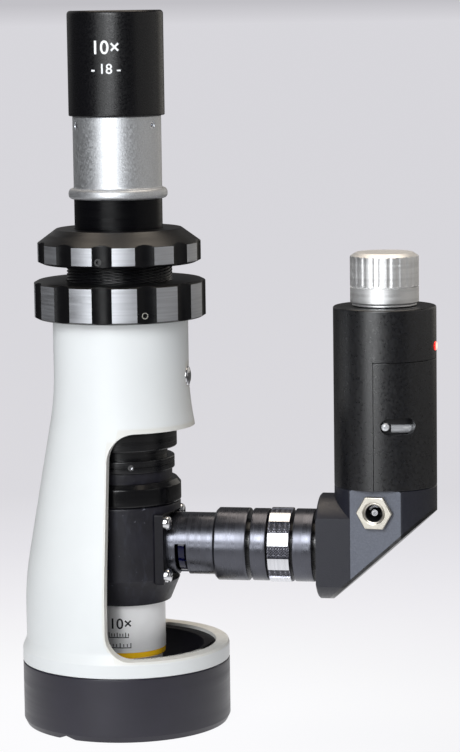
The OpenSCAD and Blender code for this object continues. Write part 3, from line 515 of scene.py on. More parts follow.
def box(low, high, place=UPRIGHT):
    """A box between two corners in millimetres, as a cutter."""
    (x0, y0, z0), (x1, y1, z1) = low, high
    corners = [(x * MM, y * MM) for x, y in ((x0, y0), (x1, y0), (x1, y1), (x0, y1))]
    return prism(corners, z0 * MM, z1 * MM, place)


def cut(mesh, *cutters, kind=0):
    """The mesh with the cutters taken away. New faces take a material index."""
    for part in (mesh,) + cutters:
        while len(part.materials) < 3:
            part.materials.append(None)
    whole = bpy.data.objects.new("whole", mesh)
    SCENE.collection.objects.link(whole)
    tools = []
    for cutter in cutters:
        numbered(cutter, kind)
        tool = bpy.data.objects.new("tool", cutter)
        SCENE.collection.objects.link(tool)
        tools.append(tool)
        taken = whole.modifiers.new("cut", "BOOLEAN")
        taken.operation = "DIFFERENCE"
        taken.solver = "EXACT"
        taken.object = tool
    shown = whole.evaluated_get(bpy.context.evaluated_depsgraph_get())
    result = bpy.data.meshes.new_from_object(shown)
    for thing in [whole] + tools:
        bpy.data.objects.remove(thing)
    return result


def joined(*meshes):
    """One mesh of several. Each keeps its material indices."""
    made = bmesh.new()
    for mesh in meshes:
        made.from_mesh(mesh)
    return to_mesh(made)


def numbered(mesh, index):
    """The mesh with all its faces on one material index."""
    mesh.polygons.foreach_set("material_index", [index] * len(mesh.polygons))
    return mesh


def turned(name, corners, node, material, place=UPRIGHT, count=192, steps=4, cutters=()):
    """A turned stand-in for a node. corners are (radius, height, rounding) in millimetres."""
    mesh = turned_mesh(edged(outline(corners, steps)), even_angles(count), place=place)
    if cutters:
        mesh = cut(mesh, *cutters)
    stand_in(mesh, name, node, [material])


def bevel(piece, width, segments, angle):
    """Breaks the edges that are sharper than an angle in degrees."""
    edges = piece.modifiers.new("edges", "BEVEL")
    edges.width = width * MM
    edges.segments = segments
    edges.limit_method = "ANGLE"
    edges.angle_limit = math.radians(angle)


def weld(piece):
    """Joins the doubled points of a CAD mesh."""
    piece.modifiers.new("weld", "WELD").merge_threshold = 0.002 * MM


def soften(node, material, width, segments):
    """Keeps a CAD node and gives it its material, broken edges and smooth shading."""
    piece = NODES[node]
    piece.data.materials.clear()
    piece.data.materials.append(MATERIALS[material])
    weld(piece)
    bevel(piece, width, segments, 35)
    piece.modifiers.new("normals", "WEIGHTED_NORMAL").keep_sharp = True


def printed(name, text, size, azimuth, z, r, body, material):
    """Lettering wrapped round a turned part: a number or a plain sign, printed on its side."""
    font = bpy.data.curves.new("print", "FONT")
    font.body = text
    font.size = size * MM
    font.align_x = "CENTER"
    font.align_y = "CENTER"
    font.extrude = 0.05 * MM
    font.offset = 0.012 * size * MM
    writer = bpy.data.objects.new("print", font)
    SCENE.collection.objects.link(writer)
    made = bmesh.new()
    made.from_mesh(writer.to_mesh())
    bpy.data.objects.remove(writer)
    wrapped(made, name, azimuth, z, r, body, material)


def wrapped(made, name, azimuth, z, r, body, material):
    """A flat bmesh wrapped round a turned part, with its middle at an azimuth in degrees and a height."""
    bmesh.ops.triangulate(made, faces=made.faces)
    for _ in range(3):
        long = [e for e in made.edges if e.calc_length() > 0.7 * MM]
        if long:
            bmesh.ops.subdivide_edges(made, edges=long, cuts=1)
    for v in made.verts:
        angle = math.radians(azimuth) + v.co.x / (r * MM)
        out = r * MM + v.co.z
        v.co = Vector((out * math.cos(angle), out * math.sin(angle), z * MM + v.co.y))
    finish_piece(to_mesh(made), name, body, [material])


def ticks(name, count, spacing, tall, azimuth, z, r, body, material):
    """A small graduated scale round a turned part."""
    made = bmesh.new()
    line, above, wide = 0.3, 0.03, spacing * (count - 1)
    bars = [(0, 0, wide + line, line)]
    for i in range(count):
        bars.append((i * spacing - wide / 2, tall / 2, line, tall if i % 3 == 0 else tall * 0.6))
    for x, y, w, h in bars:
        corners = [(x + w * i / 2, y + h * j / 2) for i, j in ((-1, -1), (1, -1), (1, 1), (-1, 1))]
        made.faces.new([made.verts.new((cx * MM, cy * MM, above * MM)) for cx, cy in corners])
    wrapped(made, name, azimuth, z, r, body, material)


# ---------- studio

def toward(azimuth, elevation, distance):
    """A place seen from the object's middle at an azimuth and elevation in degrees."""
    a, e = math.radians(azimuth), math.radians(elevation)
    way = Vector((math.cos(a) * math.cos(e), math.sin(a) * math.cos(e), math.sin(e)))
    return OBJECT_MIDDLE + distance * way


def softbox(name, azimuth, elevation, distance, size, radiance, color=(1, 1, 1)):
    """A soft light of a radiance, aimed at the object and not seen itself."""
    light = bpy.data.lights.new(name, "AREA")
    light.shape = "RECTANGLE"
    light.size, light.size_y = size
    light.energy = radiance * math.pi * size[0] * size[1]
    light.color = color
    lamp = bpy.data.objects.new(name, light)
    lamp.location = toward(azimuth, elevation, distance)
    lamp.rotation_mode = "QUATERNION"
    lamp.rotation_quaternion = (OBJECT_MIDDLE - lamp.location).to_track_quat("-Z", "Y")
    lamp.visible_camera = False
    SCENE.collection.objects.link(lamp)


def ramp(tree, value, *stops):
    """Colour ramp over a value. Stops are (position, colour), in order."""
    made = tree.nodes.new("ShaderNodeValToRGB")
    elements = made.color_ramp.elements
    for element, stop in zip(elements, (stops[0], stops[-1])):
        element.position, element.color = stop
    for position, color in stops[1:-1]:
        elements.new(position).color = color
    tree.links.new(value, made.inputs["Fac"])
    return made.outputs["Color"]


def floor():
    """A glowing table: white round the object and pale grey further away. The picture, reflections and soft
    light each have their own brightness of it."""
    made = bmesh.new()
    bmesh.ops.create_circle(made, cap_ends=True, segments=96, radius=60)
    mesh = to_mesh(made)
    table = bpy.data.objects.new("floor", mesh)
    SCENE.collection.objects.link(table)
    paper = bpy.data.materials.new("paper")
    paper.use_nodes = True
    tree = paper.node_tree
    shader = tree.nodes["Principled BSDF"]
    shader.inputs["Base Color"].default_value = (0.04, 0.04, 0.04, 1)
    shader.inputs["Roughness"].default_value = 1.0
    shader.inputs["Specular IOR Level"].default_value = 0.0
    coords = tree.nodes.new("ShaderNodeTexCoord")
    far = tree.nodes.new("ShaderNodeVectorMath")
    far.operation = "LENGTH"
    tree.links.new(coords.outputs["Object"], far.inputs[0])
    metres = far.outputs["Value"]
    seen = ramp(
        tree, metres, (0.02, srgb(250, 250, 252)), (0.1, srgb(244, 244, 246)), (0.2, srgb(235, 234, 238)),
        (0.31, srgb(225, 224, 229)), (0.46, srgb(215, 214, 219)),
    )
    mirrored = ramp(
        tree, metres, (0.06, (0.95, 0.95, 0.96, 1)), (0.2, (0.6, 0.6, 0.61, 1)), (0.42, (0.06, 0.06, 0.06, 1))
    )
    rays = tree.nodes.new("ShaderNodeLightPath").outputs
    unseen = mixed(tree, rays["Is Diffuse Ray"], mirrored, (0.62, 0.62, 0.63, 1))
    shown = mixed(tree, rays["Is Camera Ray"], unseen, seen)
    tree.links.new(shown, shader.inputs["Emission Color"])
    shader.inputs["Emission Strength"].default_value = 1.0
    mesh.materials.append(paper)


def room():
    """Pale air behind the table for the picture, and a dimmer room for the light that falls on the object."""
    world = bpy.data.worlds.new("studio")
    SCENE.world = world
    world.use_nodes = True
    tree = world.node_tree
    shown = tree.nodes["Background"]
    coords = tree.nodes.new("ShaderNodeTexCoord")
    parts = tree.nodes.new("ShaderNodeSeparateXYZ")
    tree.links.new(coords.outputs["Generated"], parts.inputs[0])
    rise = tree.nodes.new("ShaderNodeMapRange")
    rise.inputs["From Min"].default_value = -0.0045
    rise.inputs["From Max"].default_value = 0.0035
    tree.links.new(parts.outputs["Z"], rise.inputs["Value"])
    air = ramp(tree, rise.outputs["Result"], (0, srgb(217, 216, 221)), (1, srgb(194, 193, 198)))
    tree.links.new(air, shown.inputs["Color"])
    dim = tree.nodes.new("ShaderNodeBackground")
    dim.inputs["Color"].default_value = (0.08, 0.08, 0.083, 1)
    rays = tree.nodes.new("ShaderNodeLightPath")
    mix = tree.nodes.new("ShaderNodeMixShader")
    tree.links.new(rays.outputs["Is Camera Ray"], mix.inputs["Fac"])
    tree.links.new(dim.outputs["Background"], mix.inputs[1])
    tree.links.new(shown.outputs["Background"], mix.inputs[2])
    tree.links.new(mix.outputs["Shader"], tree.nodes["World Output"].inputs["Surface"])


def camera():
    """The picture's camera: where it stands, how it is aimed, and how the picture leans."""
    place = Vector((198.19, -913.76, 237.54)) * MM
    azimuth, pitch, roll = math.radians(10.01), math.radians(7.37), math.radians(-0.79)
    forward = Vector((
        -math.sin(azimuth) * math.cos(pitch), math.cos(azimuth) * math.cos(pitch), -math.sin(pitch)
    ))
    right = forward.cross(Vector((0, 0, 1))).normalized()
    up = right.cross(forward)
    right, up = (
        math.cos(roll) * right + math.sin(roll) * up,
        -math.sin(roll) * right + math.cos(roll) * up,
    )
    data = bpy.data.cameras.new("camera")
    data.sensor_width = 36
    data.lens = 134.55
    data.clip_start, data.clip_end = 0.05, 200
    view = bpy.data.objects.new("camera", data)
    view.matrix_world = Matrix((
        (right.x, up.x, -forward.x, place.x),
        (right.y, up.y, -forward.y, place.y),
        (right.z, up.z, -forward.z, place.z),
        (0, 0, 0, 1),
    ))
    SCENE.collection.objects.link(view)
    SCENE.camera = view


OBJECT_MIDDLE = Vector((0.02, 0, 0.12))
floor()
room()
softbox("key", -101, 26, 1.2, (0.95, 1.1), 1.25, (0.97, 0.99, 1.0))
softbox("heart", -101, 28, 1.19, (0.45, 0.45), 8.0, (0.96, 0.98, 1.0))
softbox("near", -90, 20, 0.53, (0.2, 0.2), 4.8, (0.96, 0.98, 1.0))
softbox("low", -108, -3, 0.75, (0.42, 0.14), 4.5, (0.97, 0.99, 1.0))
softbox("top", 80, 78, 1.1, (1.2, 0.8), 2.6, (1.0, 0.88, 0.74))
softbox("right", 4, 12, 1.2, (1.75, 0.9), 0.42, (1.0, 0.97, 0.92))
softbox("rim", 62, 10, 1.2, (0.7, 0.8), 0.5, (1.0, 0.95, 0.86))
softbox("back", 130, 20, 1.3, (1.2, 0.8), 0.15)
camera()
SCENE.view_settings.view_transform = "Standard"


# ---------- CAD nodes that keep their shape

for node in NODES:
    soften(node, SLOT_OF[node] if SLOT_OF[node] in MATERIALS else "grip_black", 0.15, 1)
soften_more = {
    "flange_plate": ("flange_black", 0.7), "flange_screws": ("chrome", 0.12), "guide_screw": ("chrome", 0.15),
    "mirror_cover": ("black_anodised", 0.15), "coarse_ring_screw": ("screw_black", 0.1),
    "fine_ring_screw": ("screw_black", 0.1), "tube_set_screws": ("chrome", 0.08),
}
for node, (material, width) in soften_more.items():
    NODES[node].modifiers.clear()
    soften(node, material, width, 3)


# ---------- base and shell

base_r = radius("base_ring")
base_h = 21.4
spigot_r, base_hole_r, port_r, port_depth = 30.4, 26.3, 28.5, 4
notch_azimuth, notch_w, notch_h = -114, 7, 1.3
notches = [
    prism(
        [(-notch_w * MM, -notch_h * MM), (0, notch_h * MM), (notch_w * MM, -notch_h * MM)],
        (port_r - 1) * MM, (base_r + 1) * MM,
        about_z(notch_azimuth + 120 * i + 90) @ Matrix.Rotation(math.pi / 2, 4, "X"),
    )
    for i in range(3)
]
magnet_hole_r, magnet_hole_top, magnet_out = 2.26, 4.3, 31.4
magnet_holes = [
    prism(
        circle(magnet_hole_r * MM), -1 * MM, magnet_hole_top * MM,
        about_z(notch_azimuth + 60 + 120 * i) @ Matrix.Translation((magnet_out * MM, 0, 0)),
    )
    for i in range(3)
]
base = turned_mesh(edged(outline([
    (base_hole_r, port_depth), (port_r, port_depth, 0.3), (port_r, 0, 0.3), (base_r - 1, 0, 0.4),
    (base_r, 2, 0.6), (base_r, base_h, 0.35), (spigot_r, base_h), (spigot_r, 26, 0.4), (base_hole_r, 26, 0.4),
])), even_angles(256), kind=lambda a, r, z: int(r < (spigot_r + 0.1) * MM and z > (port_depth - 0.1) * MM))
stand_in(cut(base, *notches, *magnet_holes), "base", "base_ring", ["base_black", "inner_black"])

shell_low_r, shell_top_r, shell_wall, cone_slope = 33.6, 22.6, 4.3, 0.1775
cone_r, cone_z, spindle_top_z = 29.4, 72.5, 146
cone_low_z = cone_z - (shell_low_r - cone_r) / cone_slope
cone_top_z = cone_z + (cone_r - shell_top_r) / cone_slope
cavity_top_z, bore_r, spindle_r, shell_top_z = 101, 18.3, 20.6, 137.2
cavity_top_r = cone_r - shell_wall - cone_slope * (cavity_top_z - cone_z)
window_low, window_top, low_r, top_r = 27, 100.9, 8.5, 9
guide_z = 117.5
window = (
    circle(low_r * MM, 14, (low_r * MM, (window_low + low_r) * MM), 3 * TURN / 4, -TURN / 4)
    + circle(top_r * MM, 14, (top_r * MM, (window_top - top_r) * MM), TURN / 2, -TURN / 4)
    + [(40 * MM, window_top * MM), (40 * MM, window_low * MM)]
)
shell = turned_mesh(split_long(outline([
    (spigot_r + FIT, base_h + 0.15), (base_r, base_h + 0.15, 0.35), (base_r, 26, 0.9), (shell_low_r, 29.5, 3),
    (shell_low_r, cone_low_z, 95), (shell_top_r, cone_top_z, 95), (shell_top_r, shell_top_z, 0.3),
    (spindle_r, shell_top_z), (spindle_r, spindle_top_z, 0.3), (bore_r, spindle_top_z),
    (bore_r, cavity_top_z),
    (cavity_top_r, cavity_top_z), (shell_low_r - shell_wall, cone_low_z, 95),
    (shell_low_r - shell_wall, window_low), (spigot_r + FIT, window_low),
], 10), 4 * MM), even_angles(256), kind=lambda a, r, z: int(
    z > (window_low - 0.1) * MM and z < (cavity_top_z + 0.1) * MM
    and r < (shell_low_r - shell_wall + 1 - max(0, z / MM - cone_low_z) * cone_slope) * MM
))
shell = cut(
    shell,
    prism(window, -40 * MM, 40 * MM, Matrix.Rotation(math.pi / 2, 4, "X")),
    pin_cutter(0, guide_z, 3.36, 22.1, 24),
    pin_cutter(0, guide_z, 1.53, 17, 24),
    kind=2,
)
shell = stand_in(shell, "shell", "body_shell", ["white_paint", "shell_inside", "shell_cut"])
bevel(shell, 0.45, 3, 40)
shell.modifiers.move(1, 0)


# ---------- focus rings

def fluted(r, centre_offset, cutter, count, first=0.0):
    """Upright flutes round a ring: its radius at an angle, half a flute's angle, and the step between two."""
    step = TURN / count
    edge = math.acos((r * r + centre_offset**2 - cutter * cutter) / (2 * r * centre_offset))

    def limit(angle):
        off = abs((angle - first + step / 2) % step - step / 2)
        if off >= edge:
            return r
        across = centre_offset * math.sin(off)
        return centre_offset * math.cos(off) - math.sqrt(cutter * cutter - across**2)

    return limit, edge, step


def fluted_angles(edge, step, count, first=0.0, in_flute=10, on_land=8):
    """Angles that follow the edges of the flutes."""
    angles = []
    for i in range(count):
        middle = first + i * step
        angles += [middle - edge + 2 * edge * k / in_flute for k in range(in_flute)]
        land = step - 2 * edge
        angles += [middle + edge + land * k / on_land for k in range(on_land)]
    return angles


def grip_ring(name, corners, r, pad_low, pad_high, node, screw, rim_paint):
    """A grip ring: black flutes, with a bright pad on each land between them."""
    flutes, flute_depth, cutter_r = 12, 1, 7.4
    azimuth, screw_z, rim_top = screw
    limit, edge, step = fluted(r * MM, (r - flute_depth + cutter_r) * MM, cutter_r * MM, flutes)
    points = split_long(outline(corners, 5), 0.3 * MM, (r - 2.2) * MM)

    def shape(angle, p, z):
        return min(p, limit(angle))

    def kind(angle, p, z):
        off = abs((angle + step / 2) % step - step / 2)
        if off > edge and p > (r - 0.02) * MM and pad_low * MM < z < pad_high * MM:
            return 1
        return 2 if off < edge and p > limit(angle) - 0.01 * MM else 0

    mesh = turned_mesh(points, fluted_angles(edge, step, flutes), shape, kind)
    mesh = cut(mesh, pin_cutter(azimuth, screw_z, SET_SCREW_R, r - 3, r + 1))
    floor_r = limit(math.radians(azimuth)) / MM
    rim = lathed([
        (0.8, -0.9), (1.05, -0.9), (1.05, rim_top), (0.8, rim_top)
    ], 40, radial(azimuth, screw_z, floor_r))
    paints = ["grip_black", "grip_pad", "flute_black", rim_paint]
    stand_in(joined(mesh, numbered(rim, 3)), name, node, paints, 24)


coarse_low, coarse_top = height("coarse_ring")
neck_r, draw_r = 17.6, 14.65
coarse_r = 28.6
grip_ring("coarse_grip", [
    (spindle_r + FIT, coarse_low), (coarse_r - 1.2, coarse_low, 0.15), (coarse_r, coarse_low + 0.6, 0.15),
    (coarse_r, coarse_top - 0.6, 0.15), (coarse_r - 1.2, coarse_top, 0.15), (neck_r + FIT, coarse_top, 0.3),
    (neck_r + FIT, spindle_top_z + 0.1), (spindle_r + FIT, spindle_top_z + 0.1),
], coarse_r, coarse_low + 0.7, coarse_top - 0.7, "coarse_ring", (-61, 140.1, 0.13), "rim_bright")

fine_r = 27.2
fine_low, fine_top = height("fine_ring")
grip_ring("fine_grip", [
    (neck_r + FIT, fine_low), (fine_r - 1.8, fine_low, 0.2), (fine_r, fine_low + 0.8, 0.2),
    (fine_r, 162.4, 0.25), (20.95, fine_top, 0.8), (draw_r + 0.1, fine_top, 0.2),
    (draw_r + 0.1, 163.7), (neck_r + FIT, 163.7),
], fine_r, fine_low + 0.95, 162.15, "fine_ring", (-93.3, 157.6, -0.15), "rim_dull")

neck_low, neck_top = height("neck_sleeve")
thread_low, thread_top, thread_depth, thread_starts = 145.4, 158.6, 0.4, 10
neck_corners = [(draw_r + FIT, neck_low), (18.24, neck_low), (18.24, 132), (neck_r, 132)]
neck_corners += [(neck_r, thread_low + 0.1 + 0.125 * i) for i in range(105)]
neck_points = outline(neck_corners + [(neck_r, neck_top), (draw_r + FIT, neck_top)])


def thread(angle, r, z):
    """Ten starts of a fine thread on the neck, with a ridge at each millimetre of height."""
    if abs(r - neck_r * MM) > 0.01 * MM or z < thread_low * MM or z > thread_top * MM:
        return r
    wave = 0.5 + 0.5 * math.cos(TURN * z / MM - thread_starts * angle)
    return r - thread_depth * MM * wave**1.5


neck = turned_mesh(neck_points, even_angles(200), thread)
stand_in(neck, "threaded_neck", "neck_sleeve", ["black_anodised"], 60)


# ---------- optical tube

draw_low, bead_z = height("draw_tube")
turned("draw_tube_body", [
    (12.9, draw_low), (draw_r, draw_low), (draw_r, bead_z), (12.9, bead_z)
], "draw_tube", "sleeve_black")

shoulder_z, tube_r, bead_r = height("eyepiece_tube")[1], 14.7, radius("eyepiece_tube")
tube_screws, tube_screw_z, sleeve_bore_r = (-25, -145, 95), 201.25, 11.66
turned("eyepiece_sleeve", [
    (sleeve_bore_r, 165), (12.84, 165), (12.84, bead_z), (bead_r, bead_z, 1.3), (bead_r, bead_z + 3.5, 1.5),
    (tube_r, bead_z + 3.5, 0.5), (tube_r, shoulder_z, 0.4), (sleeve_bore_r, shoulder_z, 0.2),
], "eyepiece_tube", "satin_silver", steps=8,
    cutters=[pin_cutter(a, tube_screw_z, SET_SCREW_R, 10, 16) for a in tube_screws])

main_low, main_top = 93.8, height("main_tube")[1]
turned("main_tube_body", [
    (12.5, 80), (15, 80), (15, main_low, 0.2), (18.2, main_low, 0.5), (18.2, main_top), (12.5, main_top)
], "main_tube", "black_anodised")

turned("lock_ring_body", [
    (15, 86.5), (17.35, 86.5, 0.3), (17.35, 88.35), (17.05, 88.45), (17.05, 88.75), (17.35, 88.85),
    (17.35, 90.7, 0.4), (15, 90.7),
], "lock_ring", "black_anodised", cutters=[pin_cutter(-69.4, 88.6, 1.02, 14.5, 19)])

turned("collar_body", [
    (16.5, 75.2), (18.8, 75.2, 0.2), (19.4, 75.9, 0.3), (19.4, 81.4, 0.5), (18.1, 83, 0.4), (16.5, 83)
], "collar_ring", "gloss_black")

turned("housing_body", [
    (10.1, 45), (13.6, 45), (13.6, 41.75), (15.5, 41.75, 0.25), (19.2, 50.5, 0.8), (19.2, 75.2, 0.4),
    (16.5, 75.2), (16.5, 86.5, 0.3), (15, 86.5), (15, 80), (11, 80), (11, 49.5), (10.1, 49.5),
], "illuminator_housing", "housing_black", count=256,
    cutters=[box((13.2, -40, 49), (40, 40, 72.8)), prism(circle(8 * MM), 0, 20 * MM, ALONG_ARM)])

objective_low, band_low, objective_r = height("objective_barrel")[0], 23.2, 13.4
turned("objective_body", [
    (7, objective_low), (objective_r, objective_low), (objective_r, 45, 0.5), (10.04, 45), (10.04, 49.5),
    (7, 49.5),
], "objective_barrel", "objective_silver")
turned("objective_band", [
    (7, band_low), (objective_r, band_low, 0.7), (objective_r, objective_low), (7, objective_low)
], "objective_color_ring", "yellow_paint")
turned("objective_nose_body", [
    (3.6, 7, 0.2), (6, 7, 0.6), (12.2, 16, 0.8), (12.2, band_low), (7, band_low), (7, 16), (3.6, 10)
], "objective_nose", "objective_silver")


# ---------- arm

def sector(r_in, r_out, z0, z1, start, end, place=UPRIGHT, steps=48):
    """A solid sector of a ring, in millimetres and degrees."""
    a, b = math.radians(start), math.radians(end)
    edge = circle(r_out * MM, steps, (0, 0), a, b - a) + circle(r_in * MM, steps, (0, 0), b, a - b)
    return prism(edge, z0 * MM, z1 * MM, place)


filter_r, core_r, core_bore_r = 10.4, 8.5, 6.8
turned("filter_tube_body", [
    (9.2, 16.2), (filter_r, 16.2), (filter_r, 32), (core_r, 32), (core_r, 25), (9.2, 25)
], "filter_tube", "arm_anodised", ALONG_ARM,
    cutters=[sector(8.9, 12, 19.1, 23, -98, 10, ALONG_ARM)])
turned("arm_core_body", [
    (core_bore_r, 25), (core_r, 25), (core_r, 76), (core_bore_r, 76)
], "arm_core", "black_anodised", ALONG_ARM)
turned("lens_tube_body", [
    (core_r, 32), (11.4, 32, 0.2), (12.2, 32.8, 0.3), (12.2, 43.2, 0.35), (core_r, 43.2)
], "lens_tube", "arm_anodised", ALONG_ARM)
turned("spacer_body", [
    (core_r, 44.5), (12.1, 44.5, 0.35), (12.1, 49.9, 0.35), (core_r, 49.9)
], "spacer_ring", "arm_anodised", ALONG_ARM)
turned("end_tube_body", [
    (core_r, 58.8), (12.2, 58.8, 0.35), (12.2, 65.4, 0.35), (core_r, 65.4)
], "end_tube", "arm_anodised", ALONG_ARM)

pad_count, pad_angle, pad_first = 9, math.radians(20), math.radians(12)
aperture_low, aperture_high = 50.5, 57.8
ring_points = split_long(outline([
    (core_r + FIT, aperture_low), (12.5, aperture_low, 0.25), (12.5, aperture_high, 0.25),
    (core_r + FIT, aperture_high),
]), 0.2 * MM, 12.4 * MM)


def pad_offset(angle):
    """How far an angle is from the middle of the nearest pad."""
    step = TURN / pad_count
    return abs((angle - pad_first + step / 2) % step - step / 2)


def knurl(angle, r, z):
    """Bright pads stand proud, with a diamond knurl between them."""
    if r < 11 * MM or pad_offset(angle) < pad_angle / 2 + 1e-6:
        return r
    across, along = angle * 12 / 0.9, z / MM / 0.9
    one, two = abs((across + along) % 1 - 0.5) * 2, abs((across - along) % 1 - 0.5) * 2
    return min(r, (11.65 + 0.5 * min(one, two)) * MM)


pad_angles = []
for i in range(pad_count):
    middle = pad_first + i * TURN / pad_count
    pad_angles += [middle - pad_angle / 2 + pad_angle * k / 10 for k in range(11)]
    gap = TURN / pad_count - pad_angle
    pad_angles += [middle + pad_angle / 2 + gap * (k + 0.02) / 22 for k in range(22)]
grip = turned_mesh(
    ring_points, pad_angles, knurl, lambda a, r, z: int(pad_offset(a) < pad_angle / 2 and r > 12.4 * MM),
    ALONG_ARM,
)
stand_in(grip, "aperture_grip", "aperture_ring", ["knurled_aluminium", "pad_bright"], 24)


# ---------- lamp

def faced_elbow():
    """The elbow with its flat and its blasted sides, as the CAD has it. The flat is painted a lighter grey than
    the sides, as painted light.
    """
    mesh = NODES["elbow_body"].data.copy()
    flat = Vector((math.sin(LAMP_CLOCK), -math.cos(LAMP_CLOCK), 0))
    numbered(mesh, 0)
    for face in mesh.polygons:
        # Faces on the front flat take the lighter grey: painted light on the flat
        if face.normal.dot(flat) > 0.999:
            face.material_index = 1
    piece = stand_in(mesh, "elbow", "elbow_body", ["blasted_black", "elbow_flat"])
    weld(piece)
    bevel(piece, 0.3, 3, 35)
    piece.modifiers.move(0, 2)


faced_elbow()

jack_low, jack_high = height("jack_nut")
jack_z = (jack_low + jack_high) / 2
flat_at, nut_af, nut_t = 14.7, jack_high - jack_low, 2.2
at_jack = AT_LAMP @ radial(-90, jack_z, flat_at)
nut = cut(
    prism(circle(nut_af / 2 / math.cos(math.pi / 6) * MM, 6, (0, 0), math.pi / 6), 0, nut_t * MM, at_jack),
    prism(circle(3.5 * MM), -1 * MM, 4 * MM, at_jack),
)
nut = stand_in(nut, "nut", "jack_nut", ["nickel"])
bevel(nut, 0.3, 3, 40)
nut.modifiers.move(1, 0)
turned("jack_bush", [
    (2.82, -1), (3.47, -1), (3.47, nut_t - 0.1, 0.15), (2.82, nut_t - 0.5, 0.15),
], "jack_nut", "nickel", at_jack, 64)
spring = sector(1.65, 2.35, -5, -0.6, 150, 250, at_jack, 16)
finish_piece(spring, "jack_spring", "optical_tube", ["chrome"])
lamp_r, lamp_bore_r = 17, 15.2
lamp_low, door_top, lamp_top = 82, 124.4, height("lamp_tube")[1]
door_space = box((0, -40, 80), (40, 40, door_top), AT_LAMP)
led_z = 128.4
lamp_wall = cut(
    lathed([
        (lamp_bore_r, lamp_low), (lamp_r, lamp_low, 0.25), (lamp_r, lamp_top, 0.6), (3.6, lamp_top),
        (3.6, lamp_top - 2.5), (lamp_bore_r, lamp_top - 2.5),
    ], 256, AT_LAMP),
    door_space,
    pin_cutter(0, led_z, 1.56, 12, 20, AT_LAMP),
)
lamp_floor = lathed([
    (0, lamp_low + 0.05), (lamp_bore_r - 0.2, lamp_low + 0.05), (lamp_bore_r - 0.2, 84), (0, 84)
], 96, AT_LAMP)
lamp_ceiling = lathed([
    (0, door_top), (lamp_bore_r, door_top), (lamp_bore_r, door_top + 1.6), (0, door_top + 1.6)
], 96, AT_LAMP)
stand_in(joined(lamp_wall, lamp_floor, lamp_ceiling), "lamp_body", "lamp_tube", ["lamp_black"])

latch_z, slot_h, slot_from, slot_to = 103.4, 5.4, -81.6, -41.2
half_slot = slot_h / 2
slot_end = math.degrees(math.asin(half_slot / lamp_r))
slot_outline = [
    (middle + slot_end * x, half_slot * y)
    for middle, start in ((slot_to - slot_end, -90), (slot_from + slot_end, 90))
    for x, y in circle(1, 13, (0, 0), math.radians(start), math.pi)
]


def slot_cutter(place):
    """A round-ended slot that follows the lamp's wall."""
    made = bmesh.new()
    inner, outer = (
        [
            made.verts.new((
                r * MM * math.cos(math.radians(a)), r * MM * math.sin(math.radians(a)), (latch_z + dz) * MM
            ))
            for a, dz in slot_outline
        ]
        for r in (lamp_bore_r - 1.5, lamp_r + 1.5)
    )
    n = len(slot_outline)
    made.faces.new(inner)
    made.faces.new(outer)
    for i in range(n):
        made.faces.new((inner[i], inner[(i + 1) % n], outer[(i + 1) % n], outer[i]))
    bmesh.ops.triangulate(made, faces=[f for f in made.faces if len(f.verts) > 4])
    bmesh.ops.recalc_face_normals(made, faces=made.faces)
    return to_mesh(made, place)


door = cut(
    lathed([
        (lamp_bore_r, lamp_low + 0.2), (lamp_r, lamp_low + 0.2, 0.15), (lamp_r, door_top - 0.2, 0.15),
        (lamp_bore_r, door_top - 0.2),
    ], 256, AT_LAMP),
    box((-40, -40, 80), (0.2, 40, 130), AT_LAMP),
    slot_cutter(AT_LAMP),
)
stand_in(door, "door_body", "battery_door", ["lamp_black"])

plate = sector(13.6, 14.3, latch_z - 3.4, latch_z + 3.4, -84, -36, AT_LAMP)
bar = bmesh.new()
bar_from, bar_to, bar_r = -69, -37, 1.35
rings = []
for i in range(25):
    a = math.radians(bar_from + (bar_to - bar_from) * i / 24)
    out = Vector((math.cos(a), math.sin(a), 0))
    bar_drop = 0.85 + 0.4 * i / 24
    rings.append([
        bar.verts.new(
            out * (14.3 + 0.62 * bar_r * math.cos(math.radians(t))) * MM
            + Vector((0, 0, (latch_z - bar_drop + bar_r * math.sin(math.radians(t))) * MM))
        )
        for t in range(-90, 91, 12)
    ])
for one, two in zip(rings, rings[1:]):
    for k in range(len(one) - 1):
        bar.faces.new((one[k], two[k], two[k + 1], one[k + 1]))
for end in (rings[0], rings[-1]):
    bar.faces.new(end)
bmesh.ops.recalc_face_normals(bar, faces=bar.faces)
pin = lathed([
    (0, 13.9), (1.3, 13.9), (1.3, 17.2, 0.5), (0.6, 17.62, 0.3), (0, 17.62)
], 40, AT_LAMP @ radial(-76.2, latch_z))
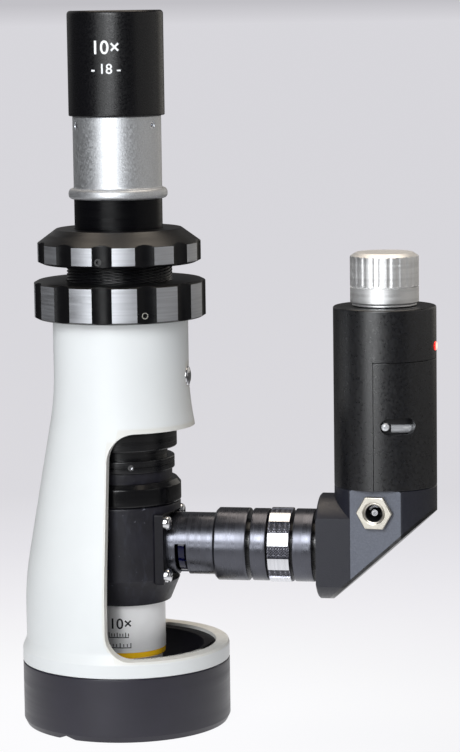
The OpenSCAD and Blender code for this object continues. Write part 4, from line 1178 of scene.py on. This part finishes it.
latch = joined(numbered(plate, 0), numbered(to_mesh(bar, AT_LAMP), 1), numbered(pin, 1))
stand_in(latch, "latch", "door_latch", ["black_plastic", "bar_silver"])

knob_r = radius("lamp_knob")
knob_low, knob_top = height("lamp_knob")
line_z, flute_top = 147.9, 157.8
knob_flutes, knob_first = 24, math.radians(7.5)
knob_limit, knob_edge, knob_step = fluted(
    knob_r * MM, (knob_r + 1.9) * MM, 2.1 * MM, knob_flutes, knob_first
)
knob_points = split_long(outline([
    (0, knob_low), (10.6, knob_low), (10.6, knob_low + 0.5, 0.1), (knob_r, knob_low + 1, 0.2),
    (knob_r, line_z - 0.25), (knob_r - 0.5, line_z), (knob_r, line_z + 0.25), (knob_r, flute_top, 0.5),
    (9.4, knob_top, 0.6), (0, knob_top),
], 5), 0.4 * MM, (knob_r - 1.9) * MM)
knob = turned_mesh(
    knob_points, fluted_angles(knob_edge, knob_step, knob_flutes, knob_first, 8, 5),
    lambda a, r, z: min(r, knob_limit(a)) if z > (line_z + 0.3) * MM else r, place=AT_LAMP,
)
stand_in(knob, "knob_body", "lamp_knob", ["polished_aluminium"], 36)


# ---------- eyepiece and prints

cap_r, cap_top = radius("eyepiece_cap"), height("eyepiece_cap")[1]
turned("cap_body", [
    (11.6, shoulder_z), (cap_r, shoulder_z, 0.35), (cap_r, cap_top, 1.2), (12.5, cap_top, 0.5),
    (8.6, 235.4, 0.3), (8.6, 234.6), (9.4, 234.6), (9.4, 228), (12.4, 228), (12.4, 212), (11.6, 212),
], "eyepiece_cap", "cap_black", count=256, steps=6)

printed("cap_number", "10×", 6.2, -90, 226.6, cap_r, "eyepiece", "print_white")
printed("cap_field", "- 18 -", 4.6, -90, 219.7, cap_r, "eyepiece", "print_white")
printed("objective_number", "10×", 5.0, -86, 35.2, objective_r, "optical_tube", "print_black")
ticks("objective_scale", 8, 0.95, 1.7, -89, 30.7, objective_r, "optical_tube", "print_black")
ticks("objective_scale_low", 7, 1.2, 1.6, -87, 27.2, objective_r, "optical_tube", "print_black")
